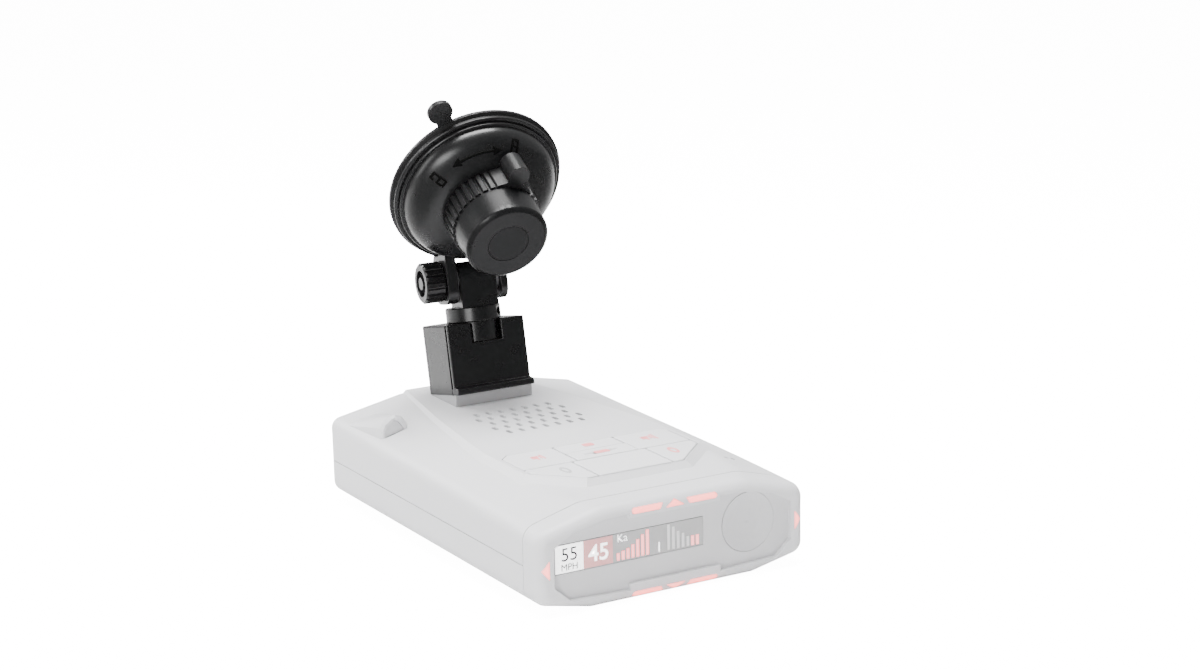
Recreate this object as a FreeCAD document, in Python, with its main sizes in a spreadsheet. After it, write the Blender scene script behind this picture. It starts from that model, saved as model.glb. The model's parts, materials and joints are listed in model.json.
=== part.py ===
import FreeCAD, Part
import math
import os
import re
import Sketcher

Vector = FreeCAD.Vector
Rotation = FreeCAD.Rotation
Placement = FreeCAD.Placement

# Radar detector on its windscreen suction mount, in millimetres.
# +Z is up, the display faces -Y, and the origin is the centre of the case's flat bottom.

SIZES = {
    # case
    "case_length": 136.0,
    "case_width": 89.0,
    "keel_half": 26.8,
    "keel_rise": 3.6,
    "seam_height": 13.6,
    "shoulder_front": 23.9,
    "shoulder_rear": 27.0,
    "crest_front": 28.8,
    "crest_rear": 31.9,
    "crest_half_nose": 23.0,
    "crest_half_keys": 31.5,
    "crest_half_middle": 30.0,
    "crest_half_rear": 19.5,
    "wall": 2.0,
    "seam_gap": 0.25,
    "nose_round": 3.4,
    "tail_round": 1.6,
    # raised plateau: height of its plane at the middle of the case, and its fall towards the display
    "plateau_height": 31.82,
    "plateau_tilt": 0.74,
    "plateau_nose": 20.1,
    "plateau_half_keys": 30.3,
    "plateau_half_middle": 29.0,
    "plateau_half_rear": 18.3,
    "plateau_nose_half": 16.9,
    "plateau_bevel": 0.5,
    # keys
    "keys_front": 20.7,
    "keys_length": 31.3,
    "keys_half": 28.3,
    "keys_row": 15.8,
    "keys_split": 7.8,
    "column_rear": 10.3,
    "column_front": 12.5,
    "key_gap": 0.5,
    "key_clearance": 0.25,
    "key_proud": 0.2,
    "key_depth": 2.8,
    "key_travel": 0.4,
    "key_slot_half": 5.9,
    # speaker grille
    "speaker_radius": 14.0,
    "speaker_depth": 5.0,
    "slot_width": 1.5,
    "slot_length": 3.4,
    "slot_pitch_across": 4.22,
    "slot_pitch_along": 5.33,
    # bezel and display
    "bezel_depth": 8.6,
    "recess_depth": 1.3,
    "recess_edge": 5.1,
    "panel_thickness": 1.4,
    "panel_lap": 0.9,
    "fit_gap": 0.1,
    "window_left": 38.4,
    "window_right": 10.0,
    "window_low": 11.8,
    "window_high": 20.1,
    "lens_place": 25.3,
    "lens_height": 15.8,
    "lens_radius": 8.8,
    "bar_inner": 4.1,
    "bar_outer": 14.0,
    "bar_height": 1.5,
    "bar_top": 26.9,
    "bar_low": 0.9,
    "arrow_half": 2.9,
    "arrow_proud": 0.3,
    "side_arrow_height": 13.8,
    "side_arrow_half": 2.6,
    # boards and fasteners
    "board_thickness": 1.6,
    "board_height": 9.0,
    "screw_inset": 7.0,
    "screw_end_inset": 10.0,
    "boss_radius": 2.8,
    "screw_head_radius": 2.25,
    "screw_radius": 1.05,
    # dock
    "dock_width": 27.3,
    "dock_depth": 18.25,
    "dock_height": 22.05,
    "dock_lean": 11.0,
    "dock_inset": 19.24,
    "dock_lift": 34.29,
    "dock_wall": 1.8,
    "plate_thickness": 1.2,
    "plate_groove": 0.8,
    "lip_reach": 2.5,
    "lip_height": 2.4,
    "notch_width": 10.9,
    "notch_height": 6.4,
    "seat_width": 27.2,
    "seat_front": 9.3,
    "seat_rear": 8.0,
    "magnet_radius": 4.0,
    "magnet_place": 8.2,
    "pin_pitch": 3.0,
    "pin_radius": 0.6,
    "pin_travel": 0.6,
    # swivel
    "stem_offset": 1.2,
    "stem_yaw": 7.3,
    "drum_radius": 7.9,
    "drum_clearance": 0.08,
    "drum_height": 6.3,
    "neck_height": 3.2,
    "collar_radius": 8.75,
    "collar_height": 4.7,
    "neck_groove_radius": 4.6,
    "neck_radius_low": 5.7,
    "post_radius": 4.0,
    "knuckle_width": 12.2,
    "knuckle_radius": 5.3,
    "hinge_height": 36.0,
    "hinge_forward": 3.0,
    "washer_thickness": 1.0,
    "washer_play": 0.05,
    "bolt_radius": 2.0,
    "bolt_clearance": 0.06,
    "left_ear": 3.4,
    "right_ear": 2.2,
    "ear_half": 7.0,
    "ear_corner": 4.5,
    "ear_drop": 7.5,
    "knob_radius": 6.5,
    "knob_length": 6.4,
    "knob_ribs": 20.0,
    # suction cup: the flange centre seen from the hinge, and its tilt
    "cup_forward": 13.8,
    "cup_above": 28.9,
    "cup_tilt": 38.8,
    "flange_radius": 28.1,
    "rim_radius": 27.3,
    "dome_wall": 1.8,
    "dome_height": 11.4,
    "neck_radius": 14.6,
    "hub_radius": 6.2,
    "hub_clearance": 0.08,
    "plunger_radius": 3.0,
    "plunger_travel": 1.5,
    "spring_turns": 2.0,
    "lock_radius": 13.4,
    "lock_rib": 0.9,
    "lock_ribs": 34.0,
    "lock_height": 7.9,
    "barrel_radius": 13.6,
    "barrel_nose_radius": 13.2,
    "barrel_top": 30.1,
    "barrel_bevel": 1.3,
    "disc_radius": 6.4,
    "lobe_radius": 3.5,
    "lobe_reach": 17.6,
    "lobe_angle": 73.0,
    "tab_radius": 3.9,
    "tab_reach": 33.2,
    "tab_angle": 117.0,
}

doc = FreeCAD.newDocument("radar_detector")
sheet = doc.addObject("Spreadsheet::Sheet", "Sizes")
for row, (alias, value) in enumerate(SIZES.items(), 1):
    sheet.set(f"A{row}", alias)
    sheet.set(f"B{row}", str(value))
    sheet.setAlias(f"B{row}", alias)
doc.recompute()


def size(alias):
    return float(sheet.get(alias))


def bind(obj, prop, text):
    """Ties one property to an expression written with the sheet's names."""
    formula = re.sub(r"[a-z]\w+", lambda word: "Sizes." + word[0] if word[0] in SIZES else word[0], str(text))
    obj.setExpression(prop, formula)


def put(obj, at, turn=None):
    obj.Placement = Placement(Vector(), turn or Rotation())
    for axis, text in zip("xyz", at):
        bind(obj, f"Placement.Base.{axis}", text)
    return obj


TURNS = {
    "z": Rotation(),
    "x": Rotation(Vector(0, 1, 0), 90),
    "y": Rotation(Vector(1, 0, 0), -90),
}


def box(name, at, lengths):
    obj = doc.addObject("Part::Box", name)
    for prop, text in zip(("Length", "Width", "Height"), lengths):
        bind(obj, prop, text)
    return put(obj, at)


def rod(name, at, radius, length, axis="z"):
    obj = doc.addObject("Part::Cylinder", name)
    bind(obj, "Radius", radius)
    bind(obj, "Height", length)
    return put(obj, at, TURNS[axis])


def cone(name, at, radius_start, radius_end, length, axis="z"):
    obj = doc.addObject("Part::Cone", name)
    bind(obj, "Radius1", radius_start)
    bind(obj, "Radius2", radius_end)
    bind(obj, "Height", length)
    return put(obj, at, TURNS[axis])


def outline(name, points):
    """A closed sketch of straight lines whose every corner is tied to the sheet."""
    sketch = doc.addObject("Sketcher::SketchObject", name)
    count = len(points)
    ring = [Vector(math.cos(math.tau * i / count), math.sin(math.tau * i / count), 0) for i in range(count)]
    for i in range(count):
        sketch.addGeometry(Part.LineSegment(ring[i], ring[(i + 1) % count]), False)
    for i in range(count):
        sketch.addConstraint(Sketcher.Constraint("Coincident", i, 2, (i + 1) % count, 1))
    for i, corner in enumerate(points):
        for kind, text in zip(("DistanceX", "DistanceY"), corner):
            number = sketch.addConstraint(Sketcher.Constraint(kind, -1, 1, i, 1, 1.0))
            bind(sketch, f"Constraints[{number}]", text)
    return sketch


PLANES = {
    "xy": (Rotation(), Vector(0, 0, 1), "z"),
    "xz": (Rotation(Vector(1, 0, 0), 90), Vector(0, 1, 0), "y"),
    "yz": (Rotation(Vector(1, 1, 1), 120), Vector(1, 0, 0), "x"),
}


def prism(name, plane, points, start, length):
    """An outline drawn in a row plane, pushed from start for length along that plane's normal axis."""
    turn, direction, axis = PLANES[plane]
    sketch = outline(name + "_outline", points)
    sketch.Placement = Placement(Vector(), turn)
    obj = doc.addObject("Part::Extrusion", name)
    obj.Base = sketch
    obj.DirMode = "Custom"
    obj.Dir = direction
    obj.Solid = True
    bind(obj, "LengthFwd", length)
    bind(obj, f"Placement.Base.{axis}", start)
    return obj


def turned(name, points):
    """A (radius, height) outline turned a full circle about Z."""
    sketch = outline(name + "_outline", points)
    sketch.Placement = Placement(Vector(), PLANES["xz"][0])
    obj = doc.addObject("Part::Revolution", name)
    obj.Source = sketch
    obj.Axis = Vector(0, 0, 1)
    obj.Angle = 360
    obj.Solid = True
    return obj


def fuse(name, *parts):
    obj = doc.addObject("Part::MultiFuse", name)
    obj.Shapes = list(parts)
    return obj


def group(name, *parts):
    obj = doc.addObject("Part::Compound", name)
    obj.Links = list(parts)
    return obj


def common(name, *parts):
    obj = doc.addObject("Part::MultiCommon", name)
    obj.Shapes = list(parts)
    return obj


def cut(name, base, *tools):
    obj = doc.addObject("Part::Cut", name)
    obj.Base = base
    obj.Tool = tools[0] if len(tools) == 1 else fuse(name + "_tools", *tools)
    return obj


def shaped(name, shape, place=None):
    """A feature whose shape is worked out here from the sheet's values."""
    obj = doc.addObject("Part::Feature", name)
    obj.Shape = shape
    if place:
        obj.Placement = place
    return obj


def placed(obj, place):
    """The same solid carried into another frame, so that its own bound place stays as it is."""
    holder = group(obj.Name + "_placed", obj)
    holder.Placement = place
    return holder


nodes = {}


def node(name, obj, place=None):
    """Names a finished sub-part, which is written to parts/name.step."""
    if place:
        obj = placed(obj, place)
    obj.Label = name
    nodes[name] = obj
    return obj


# ---- places -------------------------------------------------------------------------------

length, width = size("case_length"), size("case_width")
front, rear = -length / 2, length / 2
plateau_frame = Placement(
    Vector(0, 0, size("plateau_height")), Rotation(Vector(1, 0, 0), size("plateau_tilt")),
)
dock_frame = Placement(
    Vector(0, rear - size("dock_inset"), size("dock_lift")),
    Rotation(Vector(1, 0, 0), -size("dock_lean")),
)
swivel_frame = dock_frame * Placement(
    Vector(0, -size("stem_offset"), 0),
    Rotation(Vector(0, 0, 1), -size("stem_yaw")),
)
hinge_frame = swivel_frame * Placement(
    Vector(0, -size("hinge_forward"), size("hinge_height")),
    Rotation(),
)
# the cup's own Z runs from the glass towards the driver
cup_frame = hinge_frame * Placement(
    Vector(0, -size("cup_forward"), size("cup_above")),
    Rotation(Vector(1, 0, 0), 90 + size("cup_tilt")),
)


# ---- case volumes -------------------------------------------------------------------------

def rounded_wire(corners, y):
    """A closed wire at one y from (x, z, radius) corners, each rounded by a tangent arc."""
    spots = [Vector(x, y, z) for x, z, _ in corners]
    arcs = []
    for i, (_, _, radius) in enumerate(corners):
        here, before, after = spots[i], spots[i - 1], spots[(i + 1) % len(spots)]
        to_before = (before - here).normalize()
        to_after = (after - here).normalize()
        half_angle = to_before.getAngle(to_after) / 2
        bisector = (to_before + to_after).normalize()
        reach = radius / math.tan(half_angle)
        middle = here + bisector * (radius / math.sin(half_angle) - radius)
        arcs.append((here + to_before * reach, middle, here + to_after * reach))
    edges = []
    for i, (start, middle, end) in enumerate(arcs):
        edges.append(Part.Arc(start, middle, end).toShape())
        edges.append(Part.LineSegment(end, arcs[(i + 1) % len(arcs)][0]).toShape())
    return Part.Wire(edges)


def case_section(y, crest_half, inset):
    """The case's outline across at one y, drawn inset from the outer skin."""
    share = (y - front) / length
    half = width / 2 - inset
    shoulder = size("shoulder_front") + share * (size("shoulder_rear") - size("shoulder_front"))
    crest = size("crest_front") + share * (size("crest_rear") - size("crest_front"))
    right = [
        (size("keel_half") - 0.2 * inset, inset - 0.02, 6.0),
        (half, size("keel_rise") + 0.6 * inset, 4.0),
        (half, shoulder - 0.4 * inset, 5.0 - 1.5 * share),
        (crest_half - 0.3 * inset, crest - inset, 12.0),
    ]
    left = [(-x, z, radius) for x, z, radius in reversed(right)]
    return rounded_wire(right + left, y)


def case_volume(inset, y_start, y_end):
    """A smooth loft through the case's sections between two ends."""
    stations = [
        (front, size("crest_half_nose")),
        (front + 18, size("crest_half_nose") + 6),
        (front + 40, size("crest_half_keys")),
        (rear - 68, size("crest_half_middle")),
        (rear - 35, (size("crest_half_middle") + size("crest_half_rear")) / 2 + 1),
        (rear, size("crest_half_rear")),
    ]
    wires = [case_section(y, half, inset) for y, half in stations]
    loft = Part.makeLoft(wires, True, False)
    span = Part.makeBox(2 * width, y_end - y_start, 3 * size("crest_rear"), Vector(-width, y_start, 0))
    return loft.common(span)


def rounded_ends(solid, ends):
    """Rounds the edge loop that lies in each (y, radius) end plane."""
    for y, radius in ends:
        loop = [
            edge for edge in solid.Edges
            if abs(edge.BoundBox.YMin - y) < 0.01 and abs(edge.BoundBox.YMax - y) < 0.01
        ]
        solid = solid.makeFillet(radius, loop)
    return solid


wall = size("wall")
bezel_seam = front + size("bezel_depth")
outer = rounded_ends(case_volume(0, front, rear), [(front, size("nose_round")), (rear, size("tail_round"))])
case_outer = shaped("case_outer", outer)
case_inner = shaped(
    "case_inner",
    case_volume(wall, front + size("recess_depth") + size("panel_thickness"), rear - wall),
)


def plateau_wire(depth, spread):
    """The plateau's outline, depth below its plane and spread outwards, in the plateau's own frame."""
    nose = front + size("plateau_nose") - spread
    half_keys = size("plateau_half_keys") + spread
    right = [
        (size("plateau_nose_half") + 0.6 * spread, nose),
        (half_keys, nose + 12.9),
        (half_keys, front + 58),
        (size("plateau_half_middle") + spread, rear - 66),
        ((size("plateau_half_middle") + size("plateau_half_rear")) / 2 + 1 + spread, rear - 35),
        (size("plateau_half_rear") + spread, rear - 0.8),
    ]
    left = [(-x, y) for x, y in reversed(right)]
    return Part.makePolygon([Vector(x, y, -depth) for x, y in right + left + right[:1]])


def plateau_block(sink, shrink):
    bevel = size("plateau_bevel")
    wires = [
        plateau_wire(sink + 5, 5 - shrink), plateau_wire(sink + bevel, -shrink),
        plateau_wire(sink, -shrink - bevel),
    ]
    return Part.makeLoft(wires, True, True)


plateau = shaped("plateau", plateau_block(0, 0), plateau_frame)
plateau_hollow = shaped("plateau_hollow", plateau_block(wall, wall), plateau_frame)

# the pod on the left shoulder: a hood with an upright face that looks back over the display end
POD_FACE = [
    (-41.6, 24.0), (-41.5, 30.4), (-40.6, 32.2), (-38.6, 33.6), (-36.2, 34.1), (-34.0, 33.0),
    (-32.3, 30.6), (-31.6, 24.0),
]
POD_TAIL = [
    (-43.0, 24.0), (-42.9, 26.8), (-41.8, 27.5), (-39.4, 28.1), (-36.2, 28.6), (-33.0, 29.1),
    (-30.4, 29.7), (-29.4, 24.0),
]
POD_FACE_INSET, POD_TAIL_INSET = 32.0, 10.0
pod_shift = size("case_width") / 2 - 44.5


def pod_wire(points, y, inset=0.0):
    middle = sum(x for x, _ in points) / len(points)
    spots = [Vector(x + math.copysign(inset, middle - x) - pod_shift, y, z - inset) for x, z in points]
    return Part.makePolygon(spots + spots[:1])


pod_loft = Part.makeLoft([
    pod_wire(POD_FACE, rear - POD_FACE_INSET, 0.7),
    pod_wire(POD_FACE, rear - POD_FACE_INSET + 0.8),
    pod_wire(POD_TAIL, rear - POD_TAIL_INSET),
], True, True)
pod = shaped("pod", pod_loft)
pod_window_face = Part.Face(pod_wire(POD_FACE, rear - POD_FACE_INSET - 0.1, 1.3))
pod_window_hole = shaped("pod_window_hole", pod_window_face.extrude(Vector(0, 5, 0)))

# ---- case shells --------------------------------------------------------------------------

FRONT, REAR = "(-case_length / 2)", "(case_length / 2)"
SEAM_Y = f"({FRONT} + bezel_depth)"
upper_space = box(
    "upper_space",
    ("-case_width", f"{SEAM_Y} + seam_gap / 2", "seam_height + seam_gap / 2"),
    ("2 * case_width", "case_length", "crest_rear + 10"),
)
lower_space = box(
    "lower_space",
    ("-case_width", f"{SEAM_Y} + seam_gap / 2", "-10"),
    ("2 * case_width", "case_length", "seam_height - seam_gap / 2 + 10"),
)
nose_space = box(
    "nose_space",
    ("-case_width", f"{FRONT} - 10", "-10"),
    ("2 * case_width", "bezel_depth - seam_gap / 2 + 10", "crest_rear + 20"),
)

BOSSES = [
    (side, end)
    for side in ("(case_width / 2 - screw_inset)", "(-case_width / 2 + screw_inset)")
    for end in (f"({SEAM_Y} + screw_end_inset)", f"({REAR} - screw_end_inset)")
]


def at_bosses(name, radius, low, high):
    """One upright rod at each of the four case screws."""
    rods = [rod(f"{name}_{i}", (x, y, low), radius, f"{high} - ({low})") for i, (x, y) in enumerate(BOSSES)]
    return fuse(name, *rods)


# a key's outline, half a gap inside its share of the cluster; y is counted in the plateau's frame
KEYS_NOSE = f"({FRONT} + keys_front)"
KEYS_REAR = f"({FRONT} + keys_front + keys_length)"
KEYS_MID = f"({KEYS_NOSE} + keys_row)"
KEYS_SPLIT = f"({KEYS_MID} + keys_split)"
GAP = "key_gap / 2"


def mirrored(points):
    return [(f"-({x})", y) for x, y in points]


def block_outline(half, low, high):
    return [
        (f"-{half} + {GAP}", low), (f"{half} - {GAP}", low), (f"{half} - {GAP}", high),
        (f"-{half} + {GAP}", high),
    ]


right_key_outline = [
    (f"column_rear + {GAP}", f"{KEYS_MID} + {GAP}"),
    ("keys_half", f"{KEYS_MID} + {GAP}"),
    ("keys_half", f"{KEYS_REAR} - 2.4"),
    ("keys_half - 2.7", KEYS_REAR),
    (f"column_rear + {GAP}", KEYS_REAR),
]
right_corner_outline = [
    (f"column_front + {GAP}", KEYS_NOSE),
    ("column_front + 3.5", KEYS_NOSE),
    ("keys_half", f"{KEYS_MID} - 4"),
    ("keys_half", f"{KEYS_MID} - {GAP}"),
    (f"column_front + {GAP}", f"{KEYS_MID} - {GAP}"),
]
KEY_OUTLINES = {
    "left_key": mirrored(right_key_outline),
    "right_key": right_key_outline,
    "upper_key": block_outline("column_rear", f"{KEYS_SPLIT} + {GAP}", KEYS_REAR),
    "centre_key": block_outline("column_rear", f"{KEYS_MID} + {GAP}", f"{KEYS_SPLIT} - {GAP}"),
    "mute_key": block_outline("column_front", KEYS_NOSE, f"{KEYS_MID} - {GAP}"),
    "front_left_key": mirrored(right_corner_outline),
    "front_right_key": right_corner_outline,
}
CLEAR = "key_clearance"
opening_right = [
    ("column_front + 3.5 + 0.5 * key_clearance", f"{KEYS_NOSE} - {CLEAR}"),
    (f"keys_half + {CLEAR}", f"{KEYS_MID} - 4 - 0.5 * key_clearance"),
    (f"keys_half + {CLEAR}", f"{KEYS_REAR} - 2.4 + 0.5 * key_clearance"),
    ("keys_half - 2.7 + 0.5 * key_clearance", f"{KEYS_REAR} + {CLEAR}"),
]
key_opening = placed(
    prism("key_opening", "xy", opening_right + mirrored(opening_right)[::-1], "0", "20"),
    plateau_frame * Placement(Vector(0, 0, -12), Rotation()),
)

# grille: staggered rows of short rounded slots over the speaker
keys_rear = front + size("keys_front") + size("keys_length")
seat_front_y = rear - size("dock_inset") - size("seat_front")
speaker_y = keys_rear + 0.59 * (seat_front_y - keys_rear)


def slot_solid(x, y):
    half_width, reach = size("slot_width") / 2, (size("slot_length") - size("slot_width")) / 2
    block = Part.makeBox(2 * half_width, 2 * reach, 8, Vector(x - half_width, y - reach, -7))
    ends = [Part.makeCylinder(half_width, 8, Vector(x, y + end, -7)) for end in (-reach, reach)]
    return block.fuse(ends).removeSplitter()


slots = []
for row in range(5):
    count = 7 + row % 2
    for column in range(count):
        x = (column - (count - 1) / 2) * size("slot_pitch_across")
        slots.append(slot_solid(x, speaker_y + (2 - row) * size("slot_pitch_along")))
grille = shaped("grille", Part.makeCompound(slots), plateau_frame)

SEAT_Y = f"({REAR} - dock_inset)"
seat_pocket = box(
    "seat_pocket",
    ("-seat_width / 2 - fit_gap", f"{SEAT_Y} - seat_front - fit_gap", "plateau_height - 1.4"),
    ("seat_width + 2 * fit_gap", "seat_front + seat_rear + 2 * fit_gap", "10"),
)
rear_opening = box(
    "rear_opening",
    ("-30", f"{REAR} - wall - 5", "seam_height + 1.4"),
    ("60", "10", "9.5"),
)
sensor_holes = fuse(
    "sensor_holes",
    *[
        rod(f"sensor_hole_{i}", (x, f"{FRONT} + 23", "20"), "0.7", "15")
        for i, x in enumerate(("32.3", "34.6"))
    ],
)
upper_boss = at_bosses("upper_boss", "boss_radius", "seam_height + seam_gap / 2", "shoulder_rear + 2")
upper_pilot = at_bosses("upper_pilot", "screw_radius + 0.05", "0", "seam_height + 9")
upper_skin = common("upper_skin", fuse("upper_solid", case_outer, plateau, pod), upper_space)
upper_shell = cut("upper_shell", upper_skin, case_inner, plateau_hollow)
node("upper_case", cut(
    "upper_case_body",
    fuse("upper_bossed", upper_shell, common("upper_boss_in_case", upper_boss, case_outer)),
    upper_pilot, key_opening, grille, seat_pocket, rear_opening, sensor_holes, pod_window_hole,
))

lower_shell = cut("lower_shell", common("lower_skin", case_outer, lower_space), case_inner)
lower_boss = at_bosses("lower_boss", "boss_radius", "0", "seam_height - seam_gap / 2")
board_posts = fuse("board_posts", *[
    rod(f"board_post_{i}", (x, y, "0.5"), "2.2", "board_height - 0.5")
    for i, (x, y) in enumerate([
        ("-26", f"{FRONT} + 30"), ("10", f"{FRONT} + 30"), ("-26", f"{REAR} - 20"), ("26", f"{REAR} - 20"),
    ])
])
post_pilots = fuse("post_pilots", *[
    rod(f"post_pilot_{i}", (x, y, "3"), "screw_radius + 0.05", "board_height")
    for i, (x, y) in enumerate([
        ("-26", f"{FRONT} + 30"), ("10", f"{FRONT} + 30"), ("-26", f"{REAR} - 20"), ("26", f"{REAR} - 20"),
    ])
])
screw_wells = at_bosses("screw_wells", "screw_head_radius + 0.25", "-1", "4.2")
screw_holes = at_bosses("screw_holes", "screw_radius + 0.2", "-1", "seam_height + 1")
node("lower_case", cut(
    "lower_case_body",
    fuse("lower_bossed", lower_shell, common("lower_boss_in_case", lower_boss, case_outer), board_posts),
    screw_wells, screw_holes, post_pilots,
))
case_screw_heads = at_bosses("case_screw_heads", "screw_head_radius", "2.4", "4.2")
case_screw_shanks = at_bosses("case_screw_shanks", "screw_radius", "4", "seam_height + 8")
screw_drives = at_bosses("screw_drives", "0.9", "2", "3.4")
node(
    "case_screws",
    cut("case_screws_body", fuse("case_screw_solids", case_screw_heads, case_screw_shanks), screw_drives),
)

# ---- display end --------------------------------------------------------------------------

edge = "(case_width / 2 - recess_edge)"
TAB = "(bar_outer + 1.0)"


def recess_outline(grow):
    """The sunk face: full width, with a tab above and a tab below where the light bars sit."""
    grow = f"({grow})"
    right = [
        (f"{TAB} - {grow}", f"bar_low + 4.1 - {grow}"),
        (f"{TAB} - {grow}", f"bar_low + 2.3 - {grow}"),
        (f"{edge} - 5 + {grow}", f"4.0 - {grow}"),
        (f"{edge} + {grow}", f"8.4 - {grow}"),
        (f"{edge} + {grow}", f"19.8 + {grow}"),
        (f"{edge} - 6.4 + {grow}", f"23.4 + {grow}"),
        (f"{TAB} + 8 + {grow}", f"25.4 + {grow}"),
        (f"{TAB} - {grow}", f"25.7 + {grow}"),
        (f"{TAB} - {grow}", f"bar_top - 2.6 + {grow}"),
    ]
    return right + mirrored(right)[::-1]


def bar_shapes(name, grow):
    """Two bars and an arrow above, the same mirrored below, and an arrow at each side, as long prisms."""
    shapes = {}
    for place, low in (("top", "bar_top - bar_height"), ("bottom", "bar_low")):
        for label, sign in (("left", "-1"), ("right", "1")):
            far = f"{sign} * (bar_outer + {grow})"
            far_in = f"{sign} * (bar_outer - 0.5 + {grow})"
            near_slant = f"{sign} * (bar_inner + 0.9 - {grow})"
            near = f"{sign} * (bar_inner - {grow})"
            bottom, top = f"{low} - {grow}", f"{low} + bar_height + {grow}"
            slant_low, slant_high = (near_slant, near) if place == "top" else (near, near_slant)
            points = [
                (slant_low, bottom), (far_in, bottom), (far, f"{bottom} + 0.5"), (far, f"{top} - 0.5"),
                (far_in, top), (slant_high, top),
            ]
            shapes[place, label] = prism(f"{name}_{place}_{label}", "xz", points, FRONT, "bezel_depth - 1.6")
    tips = {
        "top": (f"bar_top - bar_height - {grow}", f"bar_top + arrow_proud + 2 * {grow}"),
        "bottom": (f"bar_low + bar_height + {grow}", f"bar_low - arrow_proud - 2 * {grow}"),
    }
    for place, (base, tip) in tips.items():
        points = [(f"-arrow_half - 2 * {grow}", base), (f"arrow_half + 2 * {grow}", base), ("0", tip)]
        shapes[place, "arrow"] = prism(f"{name}_{place}_arrow", "xz", points, FRONT, "bezel_depth - 1.6")
    for label, sign in (("left", "-1"), ("right", "1")):
        base = f"{sign} * (case_width / 2 - 3.6 - {grow})"
        points = [
            (base, f"side_arrow_height - side_arrow_half - 2 * {grow}"),
            (f"{sign} * (case_width / 2 - 1.5 + {grow})", "side_arrow_height"),
            (base, f"side_arrow_height + side_arrow_half + 2 * {grow}"),
        ]
        shapes["side", label] = prism(f"{name}_side_{label}", "xz", points, FRONT, "bezel_depth - 1.6")
    return shapes


light_holes = bar_shapes("light_hole", "fit_gap")
light_bars = bar_shapes("light_bar", "0")
recess = prism("recess", "xz", recess_outline("0"), f"{FRONT} - 1", "bezel_depth")
rebate = prism(
    "rebate", "xz", recess_outline("panel_lap + fit_gap"), f"{FRONT} + recess_depth", "bezel_depth",
)
bezel_skin = common("bezel_skin", case_outer, nose_space)
node("front_bezel", cut(
    "front_bezel_body", cut("bezel_shell", bezel_skin, case_inner), recess, rebate, *light_holes.values(),
))

strip_at = f"{FRONT} + bezel_depth - 3.1"


def light_guide(name, place, low):
    """Bars and arrow on one strip behind the bezel, the lit ends flush with the bezel's skin."""
    lit = fuse(f"{name}_lit", *[light_bars[place, label] for label in ("left", "arrow", "right")])
    strip = box(f"{name}_strip", ("-bar_outer", strip_at, low), ("2 * bar_outer", "1.4", "bar_height + 0.2"))
    node(name, common(f"{name}_body", fuse(f"{name}_solid", lit, strip), bezel_skin))


light_guide("top_light_guide", "top", "bar_top - bar_height - 1.3")
light_guide("bottom_light_guide", "bottom", "wall + 0.06")
for label in ("left", "right"):
    node(f"{label}_light_guide", common(f"{label}_light_guide_body", light_bars["side", label], bezel_skin))

PANEL_Y = f"({FRONT} + recess_depth)"
panel_plate = prism("panel_plate", "xz", recess_outline("panel_lap"), PANEL_Y, "panel_thickness")
window_hole = box(
    "window_hole",
    ("-window_left - fit_gap", f"{PANEL_Y} - 1", "window_low - fit_gap"),
    ("window_left + window_right + 2 * fit_gap", "5", "window_high - window_low + 2 * fit_gap"),
)
lens_hole = rod(
    "lens_hole", ("lens_place", f"{PANEL_Y} - 1", "lens_height"), "lens_radius + fit_gap", "5", "y",
)
node("face_panel", cut("face_panel_body", panel_plate, window_hole, lens_hole))
node("display_window", box(
    "display_window_body",
    ("-window_left", PANEL_Y, "window_low"),
    ("window_left + window_right", "panel_thickness", "window_high - window_low"),
))
lens_disc = turned("lens_disc", [
    ("0", "0.7"), ("lens_radius - 5", "0.62"), ("lens_radius - 2.5", "0.38"),
    ("lens_radius - 0.9", "0.12"), ("lens_radius", "0"),
    ("lens_radius", "panel_thickness"), ("0", "panel_thickness"),
])
node("antenna_lens", lens_disc, Placement(
    Vector(size("lens_place"), front + size("recess_depth"), size("lens_height")), TURNS["y"],
))
MODULE_Y = f"({PANEL_Y} + panel_thickness + 0.2)"
node("display_module", box(
    "display_module_body",
    ("-window_left + 0.2", MODULE_Y, "window_low - 0.6"),
    ("window_left + window_right - 0.4", "1.2", "window_high - window_low + 1.2"),
))
display_plate = box(
    "display_plate", ("-window_left + 0.5", f"{MODULE_Y} + 1.3", "6"),
    ("window_left + window_right + 4", "1.0", "17.5"),
)
display_plug = box("display_plug", ("-20", f"{MODULE_Y} + 2.3", "11.4"), ("16", "2.5", "4"))
node("display_board", fuse("display_board_body", display_plate, display_plug))

# ---- keys, speaker, boards ----------------------------------------------------------------

for name, points in KEY_OUTLINES.items():
    cap = prism(f"{name}_cap", "xy", points, "-key_depth", "key_depth + key_proud")
    if name == "centre_key":
        slot = box(
            f"{name}_slot", ("-key_slot_half", f"{KEYS_MID} + 3.0", "-0.4"),
            ("2 * key_slot_half", "1.9", "2"),
        )
        cap = cut(f"{name}_slotted", cap, slot)
    node(name, cap, plateau_frame)

MAT_LOW = "-key_depth - key_travel - 1.6"
mat_right = [
    ("column_front + 3.0", f"{KEYS_NOSE} + 0.6"), ("keys_half - 0.6", f"{KEYS_MID} - 3.4"),
    ("keys_half - 0.6", f"{KEYS_REAR} - 2.6"), ("keys_half - 3.0", f"{KEYS_REAR} - 0.6"),
]
DOMES = {
    "left": (f"-(column_rear + keys_half) / 2", f"({KEYS_MID} + {KEYS_REAR}) / 2"),
    "right": (f"(column_rear + keys_half) / 2", f"({KEYS_MID} + {KEYS_REAR}) / 2"),
    "upper": ("0", f"({KEYS_SPLIT} + {KEYS_REAR}) / 2"),
    "centre": ("0", f"({KEYS_MID} + {KEYS_SPLIT}) / 2"),
    "mute": ("0", f"({KEYS_NOSE} + {KEYS_MID}) / 2"),
    "front_left": ("-column_front - 6", f"{KEYS_MID} - 5"),
    "front_right": ("column_front + 6", f"{KEYS_MID} - 5"),
}
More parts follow.
